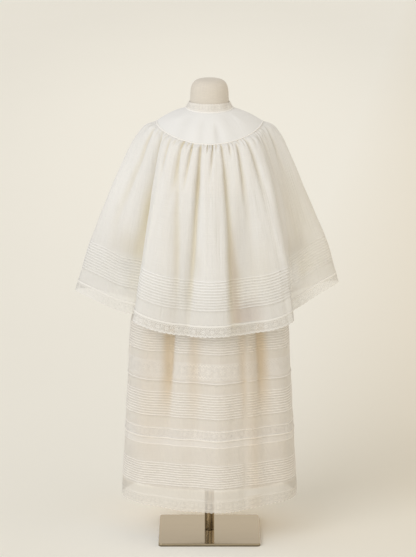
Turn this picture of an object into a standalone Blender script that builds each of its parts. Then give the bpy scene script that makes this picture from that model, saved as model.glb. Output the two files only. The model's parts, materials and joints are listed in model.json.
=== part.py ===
"""A christening gown with a gathered shoulder cape, worn by a limbless dress form on a post and base plate.

Units are metres and +Z is up. The gown's back looks towards -Y, and the base plate's underside is centred on
the origin. Angles run round the upright axis in degrees: 0 is the centre back, +90 the +X side and 180 the
centre front.
"""

from math import atan2, cos, exp, hypot, pi, radians, sin, sqrt

import bmesh
import bpy
from mathutils import Vector

# ---------------------------------------------------------------- driving sizes

SEAM_GAP = 0.0004          # between two pieces at a seam
LAYER_GAP = 0.00055        # between two layers that lie on each other
LAWN = 0.0015              # wall of the cape, skirt and yoke cloth
FINE = 0.0012              # wall of the bodice, sleeves, slip and lace

PLATE_SIDE = 0.200
PLATE_THICKNESS = 0.006
PLATE_CORNER = 0.006
POST_RADIUS = 0.0095

NECK_BACK_HEIGHT = 0.8490  # the neck seam, which rises over the shoulders
NECK_SIDE_RISE = 0.0052
NECK_HALF_WIDTH = 0.0455
NECK_HALF_DEPTH = 0.0415
COLLAR_TOP = 0.8660
COLLAR_HALF_WIDTH = 0.0412
COLLAR_HALF_DEPTH = 0.0400

YOKE_HALF_WIDTH = 0.1025   # the seam where the cape is gathered on to the yoke
YOKE_HALF_DEPTH = 0.0850
YOKE_BACK_HEIGHT = 0.7945
YOKE_SHOULDER_RISE = 0.0330
SEAM_CURVE = 1.15

CAPE_LENGTH = 0.385        # from the yoke seam to the edge of the lace, along the cloth
CAPE_LACE = 0.0255         # depth of the insertion and lace edging
CAPE_TUCKS = 11
CAPE_TUCK_LOWEST = 0.0540  # above the edge of the lace
CAPE_TUCK_PITCH = 0.0056
CAPE_GATHER_COUNT = 48
CAPE_COLUMNS = 64          # round the tucks and the lace
FRONT_GAP_TOP = 0.0020     # the centre front opening
FRONT_GAP_HEM = 0.0140

SKIRT_HEM = 0.0750         # height of the skirt's lace edge
WAIST = 0.6900
SKIRT_WIDE_STEP = 24       # degrees between two folds that ask for a second column between them
TUCK_RISE = 0.0014         # how far a tuck stands out
TUCK_EDGE = 0.0009         # the step below a tuck's edge
SKIRT_TUCKS = 10           # in each of its three bands

ARMHOLE_HEIGHT = 0.7780
ARMHOLE_HALF_DEPTH = 0.0250
ARMHOLE_HALF_HEIGHT = 0.0290
SLEEVE_SIDES = 16
BODY_COLUMNS = 32          # the collar, yoke, bodice and dress form share their columns

# ---------------------------------------------------------------- tables

# The cape's lace edge seen from above: the radius and height of the cloth at each angle.
CAPE_EDGE = (
    # angle, radius, height
    (-180, 0.150, 0.430),
    (-158, 0.160, 0.434),
    (-142, 0.180, 0.446),
    (-128, 0.186, 0.454),
    (-118, 0.163, 0.458),
    (-110, 0.180, 0.467),
    (-100, 0.234, 0.486),
    (-91, 0.2625, 0.493),
    (-84, 0.238, 0.484),
    (-76, 0.186, 0.463),
    (-68, 0.158, 0.456),
    (-60, 0.168, 0.457),
    (-51, 0.190, 0.457),
    (-40, 0.182, 0.446),
    (-24, 0.158, 0.4345),
    (0, 0.150, 0.4315),
    (24, 0.160, 0.4345),
    (42, 0.190, 0.445),
    (53, 0.199, 0.455),
    (62, 0.178, 0.459),
    (70, 0.166, 0.463),
    (77, 0.186, 0.474),
    (85, 0.234, 0.498),
    (92, 0.2575, 0.508),
    (100, 0.234, 0.500),
    (110, 0.180, 0.477),
    (118, 0.165, 0.463),
    (128, 0.188, 0.456),
    (140, 0.182, 0.446),
    (158, 0.160, 0.434),
    (180, 0.150, 0.430),
)

# How the cape leaves the yoke: the share of its spread and of its drop, along its length.
CAPE_PROFILE = (
    # along, spread, drop
    (0.00, 0.000, 0.000),
    (0.04, 0.130, 0.022),
    (0.10, 0.235, 0.075),
    (0.18, 0.330, 0.155),
    (0.30, 0.450, 0.280),
    (0.45, 0.590, 0.435),
    (0.60, 0.720, 0.590),
    (0.75, 0.840, 0.745),
    (0.90, 0.940, 0.900),
    (1.00, 1.000, 1.000),
)

# The cape's long folds: a ridge stands out, a valley (negative) falls in.
CAPE_FOLDS = (
    # angle at the yoke, angle at the edge, width, near the yoke, halfway, at the edge
    (-151, -156, 7, -0.006, -0.007, -0.003),
    (-136, -138, 6, 0.003, 0.004, 0.002),
    (-122, -125, 5, -0.005, -0.004, 0.000),
    (-99, -99, 5, -0.003, -0.004, -0.002),
    (-82, -82, 5, -0.003, -0.004, -0.002),
    (-62, -64, 5, -0.007, -0.006, 0.000),
    (-49, -51, 5, 0.003, 0.003, 0.000),
    (-36, -37, 5, -0.006, -0.006, -0.002),
    (-25, -26, 5, 0.003, 0.004, 0.002),
    (-12, -17, 4, -0.009, -0.011, -0.004),
    (1, 3, 8, 0.003, 0.005, 0.002),
    (15, 22, 4, -0.009, -0.012, -0.005),
    (24, 29, 4, 0.002, 0.003, 0.002),
    (33, 33, 4, -0.006, -0.006, -0.002),
    (46, 51, 4, -0.006, -0.004, 0.000),
    (65, 66, 5, -0.004, -0.005, 0.000),
    (84, 84, 5, -0.003, -0.004, -0.002),
    (100, 100, 5, -0.003, -0.004, -0.002),
    (121, 123, 5, -0.005, -0.004, 0.000),
    (135, 137, 6, 0.003, 0.004, 0.002),
    (150, 154, 7, -0.006, -0.007, -0.003),
)
FOLD_TOP, FOLD_MIDDLE, FOLD_EDGE = 0.22, 0.60, 1.00   # where along the cape those depths are read

# How far the gathers stand out, along the cape.
CAPE_GATHERS = (
    # along, height
    (0.000, 0.0007),
    (0.025, 0.0016),
    (0.070, 0.0026),
    (0.140, 0.0024),
    (0.250, 0.0012),
    (0.400, 0.0003),
    (0.500, 0.0000),
    (1.000, 0.0000),
)
CAPE_OPEN_ROWS = (0.025, 0.07, 0.14, 0.25, 0.40, 0.55)   # rings above the tucks
CAPE_INSIDE_ROWS = (0.07, 0.14, 0.25, 0.40, 0.55)

# The skirt's outline.
SKIRT_SECTIONS = (
    # height, half width, half depth
    (0.075, 0.1740, 0.1165),
    (0.200, 0.1680, 0.1130),
    (0.330, 0.1605, 0.1090),
    (0.450, 0.1525, 0.1040),
    (0.520, 0.1370, 0.0970),
    (0.600, 0.1140, 0.0870),
    (0.660, 0.0945, 0.0775),
    (0.690, 0.0870, 0.0735),
)

SKIRT_FOLDS = (
    # angle, width, at the waist, under the cape, halfway, at the hem
    (-172, 13, 0.000, 0.010, 0.010, 0.007),
    (-148, 8, 0.000, -0.012, -0.008, -0.004),
    (-124, 10, 0.000, 0.008, 0.008, 0.005),
    (-100, 8, 0.000, -0.006, -0.005, -0.003),
    (-70, 8, 0.000, 0.004, 0.005, 0.004),
    (-59, 5, 0.000, -0.004, -0.006, -0.004),
    (-48, 9, 0.000, 0.010, 0.012, 0.009),
    (-34, 8, 0.000, -0.014, -0.005, -0.002),
    (-15, 6, 0.000, -0.004, -0.004, -0.003),
    (9, 15, 0.000, 0.013, 0.013, 0.010),
    (34, 6, 0.000, -0.012, -0.012, -0.010),
    (51, 8, 0.000, -0.015, -0.008, -0.002),
    (70, 9, 0.000, 0.006, 0.006, 0.005),
    (102, 8, 0.000, -0.008, -0.006, -0.004),
    (126, 10, 0.000, 0.009, 0.009, 0.006),
    (150, 7, 0.000, -0.012, -0.009, -0.005),
)
SKIRT_FOLD_HEIGHTS = (0.69, 0.46, 0.27, 0.075)   # where those depths are read

# The skirt's pieces from the hem up, by their edges and their lowest tuck above the hem.
SKIRT_PIECES = (
    # name, lower edge, upper edge, lowest tuck, from tuck to tuck
    ("skirt_hem_lace", 0.0000, 0.0275, None, None),
    ("skirt_lower_panel", 0.0275, 0.1290, 0.0504, 0.0047),
    ("skirt_lower_insertion", 0.1290, 0.1650, None, None),
    ("skirt_middle_panel", 0.1650, 0.2630, 0.1877, 0.0051),
    ("skirt_upper_insertion", 0.2630, 0.2970, None, None),
    ("skirt_upper_panel", 0.2970, WAIST - SKIRT_HEM, 0.3150, 0.0050),
)
SKIRT_TOP_ROWS = (0.400, 0.475, 0.555)    # plain rings of the upper panel, above the hem

SLIP_SECTIONS = (
    # height, half width, half depth
    (0.6200, 0.0900, 0.0725),
    (0.5000, 0.1200, 0.0800),
    (0.3300, 0.1430, 0.0920),
    (0.1150, 0.1570, 0.1020),
)

# The body under the yoke: rings on the yoke's slope, then rings from its seam (0) down to the waist (1).
YOKE_SLOPE_RINGS = (0.03, 0.35, 0.70, 0.97)
BODICE_RINGS = (0.15, 0.55, 1.00)
WAIST_HALF_WIDTH, WAIST_HALF_DEPTH = 0.0870, 0.0735

# The sleeve's rings below its head, which lies on the bodice.
SLEEVE_RINGS = (
    # distance from the middle, height, slope of the sleeve, half depth, half height
    (0.1130, 0.7640, 25, 0.0240, 0.0260),
    (0.1280, 0.7000, 60, 0.0240, 0.0250),
    (0.1660, 0.5750, 75, 0.0240, 0.0240),
)

FORM_SECTIONS = (
    # height, half width, half depth
    (0.6900, 0.0800, 0.0665),
    (0.6300, 0.0740, 0.0610),
    (0.5700, 0.0760, 0.0620),
    (0.5250, 0.0750, 0.0610),
    (0.5060, 0.0670, 0.0540),
    (0.5000, 0.0540, 0.0430),
)
FORM_NECK = (
    # height, radius
    (0.9100, 0.0180),
    (0.9060, 0.0290),
    (0.8970, 0.0355),
    (0.8840, 0.0370),
    (0.8660, 0.0374),
)
FORM_NECK_FOOT = -0.08     # where the neck runs into the shoulders, on the yoke's slope
FORM_TOP = 0.9110
FORM_BOTTOM = FORM_SECTIONS[-1][0]

# ---------------------------------------------------------------- small helpers


def smooth(rows, x, column):
    """A column of a table at x, on a smooth curve through its rows. The first column is x."""
    if x <= rows[0][0]:
        return rows[0][column]
    if x >= rows[-1][0]:
        return rows[-1][column]
    k = next(i for i in range(len(rows) - 1) if rows[i + 1][0] >= x)

    def slope(i):
        before, after = rows[max(i - 1, 0)], rows[min(i + 1, len(rows) - 1)]
        return (after[column] - before[column]) / (after[0] - before[0])

    start, end = rows[k], rows[k + 1]
    span = end[0] - start[0]
    t = (x - start[0]) / span
    return (
        start[column] * (1 + 2 * t) * (1 - t) ** 2
        + end[column] * t * t * (3 - 2 * t)
        + span * t * (1 - t) * ((1 - t) * slope(k) - t * slope(k + 1))
    )


def level(places, depths, x):
    """The depth at x on straight lines between the places, which rise or fall."""
    pairs = sorted(zip(places, depths))
    if x <= pairs[0][0]:
        return pairs[0][1]
    for (low, first), (high, second) in zip(pairs, pairs[1:]):
        if x <= high:
            return first + (second - first) * (x - low) / (high - low)
    return pairs[-1][1]


def bump(angle, centre, width):
    """1 at the centre of a fold, falling to 0 over its width, the short way round."""
    away = (angle - centre + 180) % 360 - 180
    return exp(-((away / width) ** 2))


def round_the_axis(angle, radius, height):
    return Vector((radius * sin(radians(angle)), -radius * cos(radians(angle)), height))


def oval_radius(angle, half_width, half_depth):
    return 1 / hypot(sin(radians(angle)) / half_width, cos(radians(angle)) / half_depth)


def oval_point(angle, half_width, half_depth, height):
    return round_the_axis(angle, oval_radius(angle, half_width, half_depth), height)


def moved_out(surface, angle, along, distance):
    """A point of the surface, moved along its outward normal. The surface runs downwards."""
    if distance == 0:
        return surface(angle, along)
    step_round, step_along = 0.5, 0.002
    across = surface(angle + step_round, along) - surface(angle - step_round, along)
    down = surface(angle, along + step_along) - surface(angle, along - step_along)
    return surface(angle, along) + down.cross(across).normalized() * distance


# ---------------------------------------------------------------- the surfaces


def shoulder_rise(angle):
    """0 at the centre back and front, 1 on the shoulders."""
    return 1 - abs(cos(radians(angle))) ** SEAM_CURVE


def neck_seam(angle):
    height = NECK_BACK_HEIGHT + NECK_SIDE_RISE * shoulder_rise(angle)
    return oval_point(angle, NECK_HALF_WIDTH, NECK_HALF_DEPTH, height)


def yoke_seam(angle):
    height = YOKE_BACK_HEIGHT + YOKE_SHOULDER_RISE * shoulder_rise(angle)
    return oval_point(angle, YOKE_HALF_WIDTH, YOKE_HALF_DEPTH, height)


def yoke_surface(angle, along):
    """The yoke's outside, from the neck seam (0) to the gathering seam (1)."""
    neck, seam = neck_seam(angle), yoke_seam(angle)
    spread = 1.12 * along - 0.12 * along * along
    drop = 0.55 * along + 0.45 * along * along
    return Vector(
        (
            neck.x + (seam.x - neck.x) * spread,
            neck.y + (seam.y - neck.y) * spread,
            neck.z + (seam.z - neck.z) * drop,
        )
    )


def cape_surface(angle, along):
    """The cape's outside with its long folds, from the gathering seam (0) to the lace edge (1)."""
    seam = yoke_seam(angle)
    turn = (angle + 180) % 360 - 180
    spread, drop = smooth(CAPE_PROFILE, along, 1), smooth(CAPE_PROFILE, along, 2)
    start = hypot(seam.x, seam.y)
    radius = start + (smooth(CAPE_EDGE, turn, 1) - start) * spread
    height = seam.z + (smooth(CAPE_EDGE, turn, 2) - seam.z) * drop
    share = min(1.0, max(0.0, along) / FOLD_TOP)
    for start_angle, end_angle, width, *depths in CAPE_FOLDS:
        depth = level((FOLD_TOP, FOLD_MIDDLE, FOLD_EDGE), depths, along)
        centre = start_angle + (end_angle - start_angle) * along
        radius += share * depth * bump(turn, centre, width)
    return round_the_axis(angle, radius, height)


def skirt_surface(angle, below):
    """The skirt's outside, from the waist (0) down to the hem."""
    height = WAIST - below
    half_width = smooth(SKIRT_SECTIONS, height, 1)
    half_depth = smooth(SKIRT_SECTIONS, height, 2)
    radius = oval_radius(angle, half_width, half_depth)
    for centre, width, *depths in SKIRT_FOLDS:
        radius += level(SKIRT_FOLD_HEIGHTS, depths, height) * bump(angle, centre, width)
    return round_the_axis(angle, radius, height)


def bodice_surface(angle, down):
    """The bodice's outside from just under the yoke seam (0) to the waist (1)."""
    seam = yoke_seam(angle)
    inset = LAWN + LAYER_GAP
    half_width = (YOKE_HALF_WIDTH - inset) * (1 - down) + WAIST_HALF_WIDTH * down
    half_depth = (YOKE_HALF_DEPTH - inset) * (1 - down) + WAIST_HALF_DEPTH * down
    return oval_point(angle, half_width, half_depth, seam.z * (1 - down) + WAIST * down)


# ---------------------------------------------------------------- making solids


def finish(mesh, name, material, sharp=35):
    bmesh.ops.recalc_face_normals(mesh, faces=mesh.faces)
    data = bpy.data.meshes.new(name)
    mesh.to_mesh(data)
    mesh.free()
    data.shade_smooth()
    data.set_sharp_from_angle(angle=radians(sharp))
    data.materials.append(material)
    made = bpy.data.objects.new(name, data)
    bpy.context.scene.collection.objects.link(made)
    return made


def strip(mesh, upper, lower, closed):
    """Faces between two rows of points, upper above lower as seen from outside. 3 columns may meet 2."""
    if len(upper) == len(lower):
        count = len(upper)
        for i in range(count if closed else count - 1):
            j = (i + 1) % count
            mesh.faces.new((upper[i], upper[j], lower[j], lower[i]))
        return
    for group in range((len(upper) - 1) // 3):
        a, b, c, d = upper[3 * group : 3 * group + 4]
        e, f, g = lower[2 * group : 2 * group + 3]
        mesh.faces.new((a, b, f, e))
        mesh.faces.new((b, c, f))
        mesh.faces.new((c, d, g, f))


def cloth_wall(name, outside, inside, closed, material):
    """A wall of cloth between its outside and inside rings, each listed from the top edge down."""
    mesh = bmesh.new()
    outer = [[mesh.verts.new(p) for p in ring] for ring in outside]
    inner = [[mesh.verts.new(p) for p in ring] for ring in inside]
    for upper, lower in zip(outer, outer[1:]):
        strip(mesh, upper, lower, closed)
    for upper, lower in zip(inner, inner[1:]):
        strip(mesh, upper, lower, closed)
    strip(mesh, inner[0], outer[0], closed)
    strip(mesh, outer[-1], inner[-1], closed)
    if not closed:
        for end in (0, -1):
            edge = [ring[end] for ring in outer] + [ring[end] for ring in reversed(inner)]
            mesh.faces.new(edge)
    return finish(mesh, name, material)


def open_turns(columns):
    """Angles from one front edge, round the back, to the other, a little closer together at the sides."""
    even = [-180 + 360 * i / columns for i in range(columns + 1)]
    return [a + 4 * sin(radians(2 * a)) for a in even]


def skirt_turns():
    """Angles round the skirt: one on each fold, and one or two between neighbouring folds."""
    folds = [row[0] for row in SKIRT_FOLDS]
    angles = []
    for here, after in zip(folds, folds[1:] + [folds[0] + 360]):
        parts = 3 if after - here > SKIRT_WIDE_STEP else 2
        angles += [here + (after - here) * k / parts for k in range(parts)]
    return angles


def front_edge(angle, radius, gap):
    """Keeps an angle clear of half the centre front opening."""
    most = 180 - gap / 2 / radius * 180 / pi
    return max(-most, min(most, angle))


def material_of(name, colour, roughness, metallic=0.0):
    made = bpy.data.materials.new(name)
    made.use_nodes = True
    shader = made.node_tree.nodes["Principled BSDF"]
    shader.inputs["Base Color"].default_value = (*colour, 1.0)
    shader.inputs["Roughness"].default_value = roughness
    shader.inputs["Metallic"].default_value = metallic
    return made


# ---------------------------------------------------------------- the stand and dress form


def make_plate(steel):
    mesh = bmesh.new()
    bmesh.ops.create_cube(mesh, size=1)
    bmesh.ops.scale(mesh, vec=(PLATE_SIDE, PLATE_SIDE, PLATE_THICKNESS), verts=mesh.verts)
    bmesh.ops.translate(mesh, vec=(0, 0, PLATE_THICKNESS / 2), verts=mesh.verts)
    upright = [e for e in mesh.edges if abs(e.verts[0].co.z - e.verts[1].co.z) > PLATE_THICKNESS / 2]
    bmesh.ops.bevel(
        mesh, geom=upright, offset=PLATE_CORNER, segments=4, profile=0.5, affect="EDGES", material=-1
    )
    return finish(mesh, "base_plate", steel)


def make_post(steel):
    low, high = PLATE_THICKNESS + SEAM_GAP, FORM_BOTTOM - SEAM_GAP
    mesh = bmesh.new()
    bmesh.ops.create_cone(
        mesh, cap_ends=True, segments=24, radius1=POST_RADIUS, radius2=POST_RADIUS, depth=high - low
    )
    bmesh.ops.translate(mesh, vec=(0, 0, (high + low) / 2), verts=mesh.verts)
    return finish(mesh, "post", steel)


def make_form(linen):
    """The dress form: a neck with a round end, shoulders under the bodice and a torso, closed below."""
    angles = open_turns(BODY_COLUMNS)[:-1]
    rings = [[round_the_axis(a, radius, height) for a in angles] for height, radius in FORM_NECK]
    slope = (FORM_NECK_FOOT,) + YOKE_SLOPE_RINGS
    rings += body_rings(angles, -FINE - LAYER_GAP, 0.0, slope, BODICE_RINGS[:-1])
    rings += [[oval_point(a, wide, deep, height) for a in angles] for height, wide, deep in FORM_SECTIONS]
    mesh = bmesh.new()
    made = [[mesh.verts.new(p) for p in ring] for ring in rings]
    for upper, lower in zip(made, made[1:]):
        strip(mesh, upper, lower, True)
    crown = mesh.verts.new((0, 0, FORM_TOP))
    for first, second in zip(made[0], made[0][1:] + made[0][:1]):
        mesh.faces.new((crown, second, first))
    mesh.faces.new(made[-1])
    return finish(mesh, "dress_form", linen)


# ---------------------------------------------------------------- the cape


def cape_ring(along, columns, offset=0.0):
    """A ring of the cape at this share of its length. Two columns make a gather where it is gathered."""
    gather = smooth(CAPE_GATHERS, along, 1)
    gap = FRONT_GAP_TOP + (FRONT_GAP_HEM - FRONT_GAP_TOP) * along
    ring = []
    for i, angle in enumerate(open_turns(columns)):
        radius = hypot(*cape_surface(angle, along).xy)
        rise = gather if i % 2 else -gather
        ring.append(moved_out(cape_surface, front_edge(angle, radius, gap), along, rise + offset))
    return ring


def tuck_rows(lowest, pitch, count):
    """(distance above the hem, how far out) for the rings of a band of tucks, from the top down."""
    rows = [(lowest + count * pitch - TUCK_EDGE, 0.0)]
    for k in reversed(range(count)):
        rows.append((lowest + k * pitch, TUCK_RISE))
        rows.append((lowest + k * pitch - TUCK_EDGE, 0.0))
    return rows


def make_cape(lawn):
    gathered = 2 * CAPE_GATHER_COUNT
    top = SEAM_GAP / CAPE_LENGTH
    foot = 1 - (CAPE_LACE + 2 * SEAM_GAP) / CAPE_LENGTH
    outside = [cape_ring(along, gathered) for along in (top,) + CAPE_OPEN_ROWS]
    tucks = tuck_rows(CAPE_TUCK_LOWEST, CAPE_TUCK_PITCH, CAPE_TUCKS)
    bands = [(1 - above / CAPE_LENGTH, rise) for above, rise in tucks] + [(foot, 0.0)]
    outside += [cape_ring(along, CAPE_COLUMNS, rise) for along, rise in bands]
    plain = (bands[0][0], (bands[0][0] + foot) / 2, foot)
    inside = [cape_ring(along, gathered, -LAWN) for along in (top,) + CAPE_INSIDE_ROWS]
    inside += [cape_ring(along, CAPE_COLUMNS, -LAWN) for along in plain]
    return cloth_wall("cape", outside, inside, False, lawn)


def make_cape_lace(lace):
    top = 1 - CAPE_LACE / CAPE_LENGTH
    outside = [cape_ring(along, CAPE_COLUMNS) for along in (top, 1.0)]
    inside = [cape_ring(along, CAPE_COLUMNS, -FINE) for along in (top, 1.0)]
    return cloth_wall("cape_lace_edging", outside, inside, False, lace)


def make_yoke(lawn):
    angles = open_turns(BODY_COLUMNS)
    shares = (0.0,) + YOKE_SLOPE_RINGS[1:3] + (1 - SEAM_GAP / 0.07,)

    def rings(offset):
        return [
            [
                moved_out(yoke_surface, front_edge(a, YOKE_HALF_DEPTH, FRONT_GAP_TOP), along, offset)
                for a in angles
            ]
            for along in shares
        ]

    return cloth_wall("yoke", rings(0.0), rings(-LAWN), False, lawn)


def make_collar(lace):
    """The collar stands on the neck seam and leans in to the neck."""
    angles = [front_edge(a, NECK_HALF_DEPTH, FRONT_GAP_TOP) for a in open_turns(BODY_COLUMNS)]

    def rings(inward):
        top_wide, top_deep = COLLAR_HALF_WIDTH - inward, COLLAR_HALF_DEPTH - inward
        foot_wide, foot_deep = NECK_HALF_WIDTH - inward, NECK_HALF_DEPTH - inward
        top = [oval_point(a, top_wide, top_deep, COLLAR_TOP) for a in angles]
        foot = [oval_point(a, foot_wide, foot_deep, neck_seam(a).z + SEAM_GAP) for a in angles]
        return [top, foot]

    return cloth_wall("lace_collar", rings(0.0), rings(FINE), False, lace)


# ---------------------------------------------------------------- the gown under the cape


def body_rings(angles, outward, gap, slope_rings, bodice_rings):
    """Rings over the shoulders under the yoke and down the body, moved outward from the bodice's outside."""
    under_yoke = outward - LAWN - LAYER_GAP
    rings = []
    for along in slope_rings:
        rings.append([moved_out(yoke_surface, front_edge(a, 0.06, gap), along, under_yoke) for a in angles])
    for down in bodice_rings:
        rings.append([moved_out(bodice_surface, front_edge(a, 0.07, gap), down, outward) for a in angles])
    return rings


def make_bodice(lawn):
    """The bodice runs from the neck over the shoulders, under the yoke, down to the waist."""
    angles = open_turns(BODY_COLUMNS)
    down = BODICE_RINGS[:-1] + (BODICE_RINGS[-1] - SEAM_GAP / 0.1,)
    outside = body_rings(angles, 0.0, FRONT_GAP_TOP, YOKE_SLOPE_RINGS, down)
    inside = body_rings(angles, -FINE, FRONT_GAP_TOP, YOKE_SLOPE_RINGS, down)
    bodice = cloth_wall("bodice", outside, inside, False, lawn)
    cut = bodice.modifiers.new("armholes", "BOOLEAN")
    cut.operation = "DIFFERENCE"
    cut.solver = "EXACT"
    cut.object = armhole_cutter(lawn)
    return bodice


def armhole_cutter(lawn):
    mesh = bmesh.new()
    bmesh.ops.create_cone(mesh, cap_ends=True, segments=SLEEVE_SIDES, radius1=1, radius2=1, depth=0.4)
    for vert in mesh.verts:
        long, wide, tall = vert.co.z, vert.co.x, vert.co.y
        vert.co = (long, wide * ARMHOLE_HALF_DEPTH, tall * ARMHOLE_HALF_HEIGHT + ARMHOLE_HEIGHT)
    cutter = finish(mesh, "armhole_cutter", lawn)
    cutter.hide_render = True
    cutter.display_type = "WIRE"
    return cutter


def bodice_side(y, height):
    """How far the bodice's outside is from the middle at this depth and height, near the arm."""
    down = 0.0
    for _ in range(12):
        half_width = (YOKE_HALF_WIDTH - LAWN) * (1 - down) + WAIST_HALF_WIDTH * down
        half_depth = (YOKE_HALF_DEPTH - LAWN) * (1 - down) + WAIST_HALF_DEPTH * down
        x = half_width * sqrt(1 - (y / half_depth) ** 2)
        seam = yoke_seam(atan2(x, -y) * 180 / pi).z
        down = (seam - height) / (seam - WAIST)
    return x


def make_sleeve(side, lawn):
    """A plain sleeve from the armhole out and down to an open cuff."""

    def head(thickness):
        ring = []
        for i in range(SLEEVE_SIDES):
            turn = 2 * pi * i / SLEEVE_SIDES
            y = (ARMHOLE_HALF_DEPTH + thickness) * cos(turn)
            z = ARMHOLE_HEIGHT + (ARMHOLE_HALF_HEIGHT + thickness) * sin(turn)
            ring.append(Vector((bodice_side(y, z) + SEAM_GAP, y, z)))
        return ring

    def ring(row, thickness):
        out, height, slope, half_depth, half_height = row
        up = Vector((sin(radians(slope)), 0, cos(radians(slope))))
        points = []
        for i in range(SLEEVE_SIDES):
            turn = 2 * pi * i / SLEEVE_SIDES
            across = Vector((0, (half_depth + thickness) * cos(turn), 0))
            points.append(Vector((out, 0, height)) + across + up * (half_height + thickness) * sin(turn))
        return points

    outside = [head(FINE)] + [ring(row, FINE) for row in SLEEVE_RINGS]
    inside = [head(0.0)] + [ring(row, 0.0) for row in SLEEVE_RINGS]
    for rows in (outside, inside):
        for row in rows:
            for point in row:
                point.x *= side
    return cloth_wall("sleeve_right" if side > 0 else "sleeve_left", outside, inside, True, lawn)


def skirt_ring(above, offset):
    """A ring of the skirt at this distance above its hem."""
    below = WAIST - SKIRT_HEM - above
    return [moved_out(skirt_surface, a, below, offset) for a in skirt_turns()]


def make_skirt_piece(name, low, high, lowest_tuck, pitch, material):
    bottom = low if low == 0 else low + SEAM_GAP / 2
    top = high - SEAM_GAP / 2
    rows = []
    if lowest_tuck is not None:
        rows = tuck_rows(lowest_tuck, pitch, SKIRT_TUCKS)
    plain = [above for above in reversed(SKIRT_TOP_ROWS) if low < above < high]
    outside = [skirt_ring(top, 0.0)]
    outside += [skirt_ring(above, 0.0) for above in plain]
    outside += [skirt_ring(above, rise) for above, rise in rows]
    outside.append(skirt_ring(bottom, 0.0))
    inside_rows = [top] + plain + ([rows[0][0]] if rows else []) + [bottom]
    inside = [skirt_ring(above, -LAWN) for above in inside_rows]
    return cloth_wall(name, outside, inside, True, material)


def make_slip(lawn):
    """The plain underskirt that shows through: sewn in at the waist, it ends above the skirt's hem."""
    angles = skirt_turns()

    def rings(inward):
        waist = [moved_out(skirt_surface, a, SEAM_GAP, -LAWN - SEAM_GAP - inward) for a in angles]
        return [waist] + [
            [oval_point(a, wide - inward, deep - inward, height) for a in angles]
            for height, wide, deep in SLIP_SECTIONS
        ]

    return cloth_wall("slip", rings(0.0), rings(FINE), True, lawn)


# ---------------------------------------------------------------- the whole part


def main():
    for old in list(bpy.data.objects):
        bpy.data.objects.remove(old)
    lawn = material_of("white_lawn", (0.87, 0.84, 0.77), 0.85)
    lace = material_of("white_lace", (0.90, 0.88, 0.82), 0.80)
    linen = material_of("form_linen", (0.78, 0.72, 0.62), 0.80)
    steel = material_of("brushed_steel", (0.62, 0.58, 0.52), 0.30, 1.0)
    make_plate(steel)
    make_post(steel)
    make_form(linen)
    make_collar(lace)
    make_yoke(lawn)
    make_cape(lawn)
    make_cape_lace(lace)
    make_bodice(lawn)
    for side in (-1, 1):
        make_sleeve(side, lawn)
    for row in SKIRT_PIECES:
        make_skirt_piece(*row, lawn if "panel" in row[0] else lace)
    make_slip(lawn)


main()
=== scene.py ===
"""Finishes a christening gown with a gathered shoulder cape, worn by a limbless dress form on a post.

Units are metres and +Z is up. The gown's back looks towards -Y. Angles run round the upright axis in degrees:
0 is the centre back, +90 the +X side and 180 the centre front. Cloth is laid out as a grid with its rows
listed from the bottom edge up, and its UV map is in metres: round the cloth, and up it.
"""

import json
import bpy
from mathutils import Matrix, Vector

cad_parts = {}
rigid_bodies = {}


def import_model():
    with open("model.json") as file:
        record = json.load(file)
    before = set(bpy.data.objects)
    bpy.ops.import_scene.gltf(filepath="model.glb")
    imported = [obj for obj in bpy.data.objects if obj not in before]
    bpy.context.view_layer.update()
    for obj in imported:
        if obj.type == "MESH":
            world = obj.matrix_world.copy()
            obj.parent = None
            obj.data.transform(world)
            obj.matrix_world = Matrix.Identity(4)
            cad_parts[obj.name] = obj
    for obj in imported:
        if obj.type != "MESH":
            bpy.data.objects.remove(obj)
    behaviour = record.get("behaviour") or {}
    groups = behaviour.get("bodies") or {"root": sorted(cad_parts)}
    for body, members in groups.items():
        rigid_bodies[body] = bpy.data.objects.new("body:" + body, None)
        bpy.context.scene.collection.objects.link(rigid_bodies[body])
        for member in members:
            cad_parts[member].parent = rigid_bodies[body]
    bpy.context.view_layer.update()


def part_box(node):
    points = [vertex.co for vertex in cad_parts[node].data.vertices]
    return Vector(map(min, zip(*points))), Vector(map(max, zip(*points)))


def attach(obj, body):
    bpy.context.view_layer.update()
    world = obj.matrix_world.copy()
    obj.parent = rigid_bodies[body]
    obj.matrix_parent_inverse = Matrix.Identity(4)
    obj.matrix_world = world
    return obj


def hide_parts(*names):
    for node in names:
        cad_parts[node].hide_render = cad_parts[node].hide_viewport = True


bl_info = {
    "name": "Christening Gown",
    "version": (1, 0, 0),
    "blender": (4, 5, 0),
    "location": "View3D > Sidebar > Gown",
    "description": "Cloth, lace, dress form, stand and studio of a christening gown with a cape",
    "category": "Object",
}

from math import pi, radians

import bmesh
import bpy
import numpy as np
from mathutils import Vector

for old in list(bpy.data.objects):
    bpy.data.objects.remove(old)
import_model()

# ---------------------------------------------------------------- the gown's sizes, as its solids have them

SEAM_GAP, LAYER_GAP = 0.0004, 0.00055  # left open in a seam, and between two layers
LAWN_WALL, FINE_WALL = 0.0015, 0.0012
NECK_BACK_HEIGHT, NECK_SIDE_RISE = 0.8490, 0.0052
NECK_HALF_WIDTH, NECK_HALF_DEPTH = 0.0455, 0.0415
COLLAR_TOP, COLLAR_HALF_WIDTH, COLLAR_HALF_DEPTH = 0.8660, 0.0390, 0.0386
COLLAR_HEIGHT = 0.0165
YOKE_HALF_WIDTH, YOKE_HALF_DEPTH = 0.1025, 0.0850
YOKE_BACK_HEIGHT, YOKE_SHOULDER_RISE, SEAM_CURVE = 0.7945, 0.0330, 1.15
YOKE_SPREAD, YOKE_DROP = (1.12, -0.12), (0.55, 0.45)  # by how far down it is, and by that squared
CAPE_LENGTH, CAPE_LACE = 0.385, 0.0255
CAPE_TUCKS, CAPE_TUCK_LOWEST, CAPE_TUCK_PITCH = 11, 0.0540, 0.0056
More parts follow.
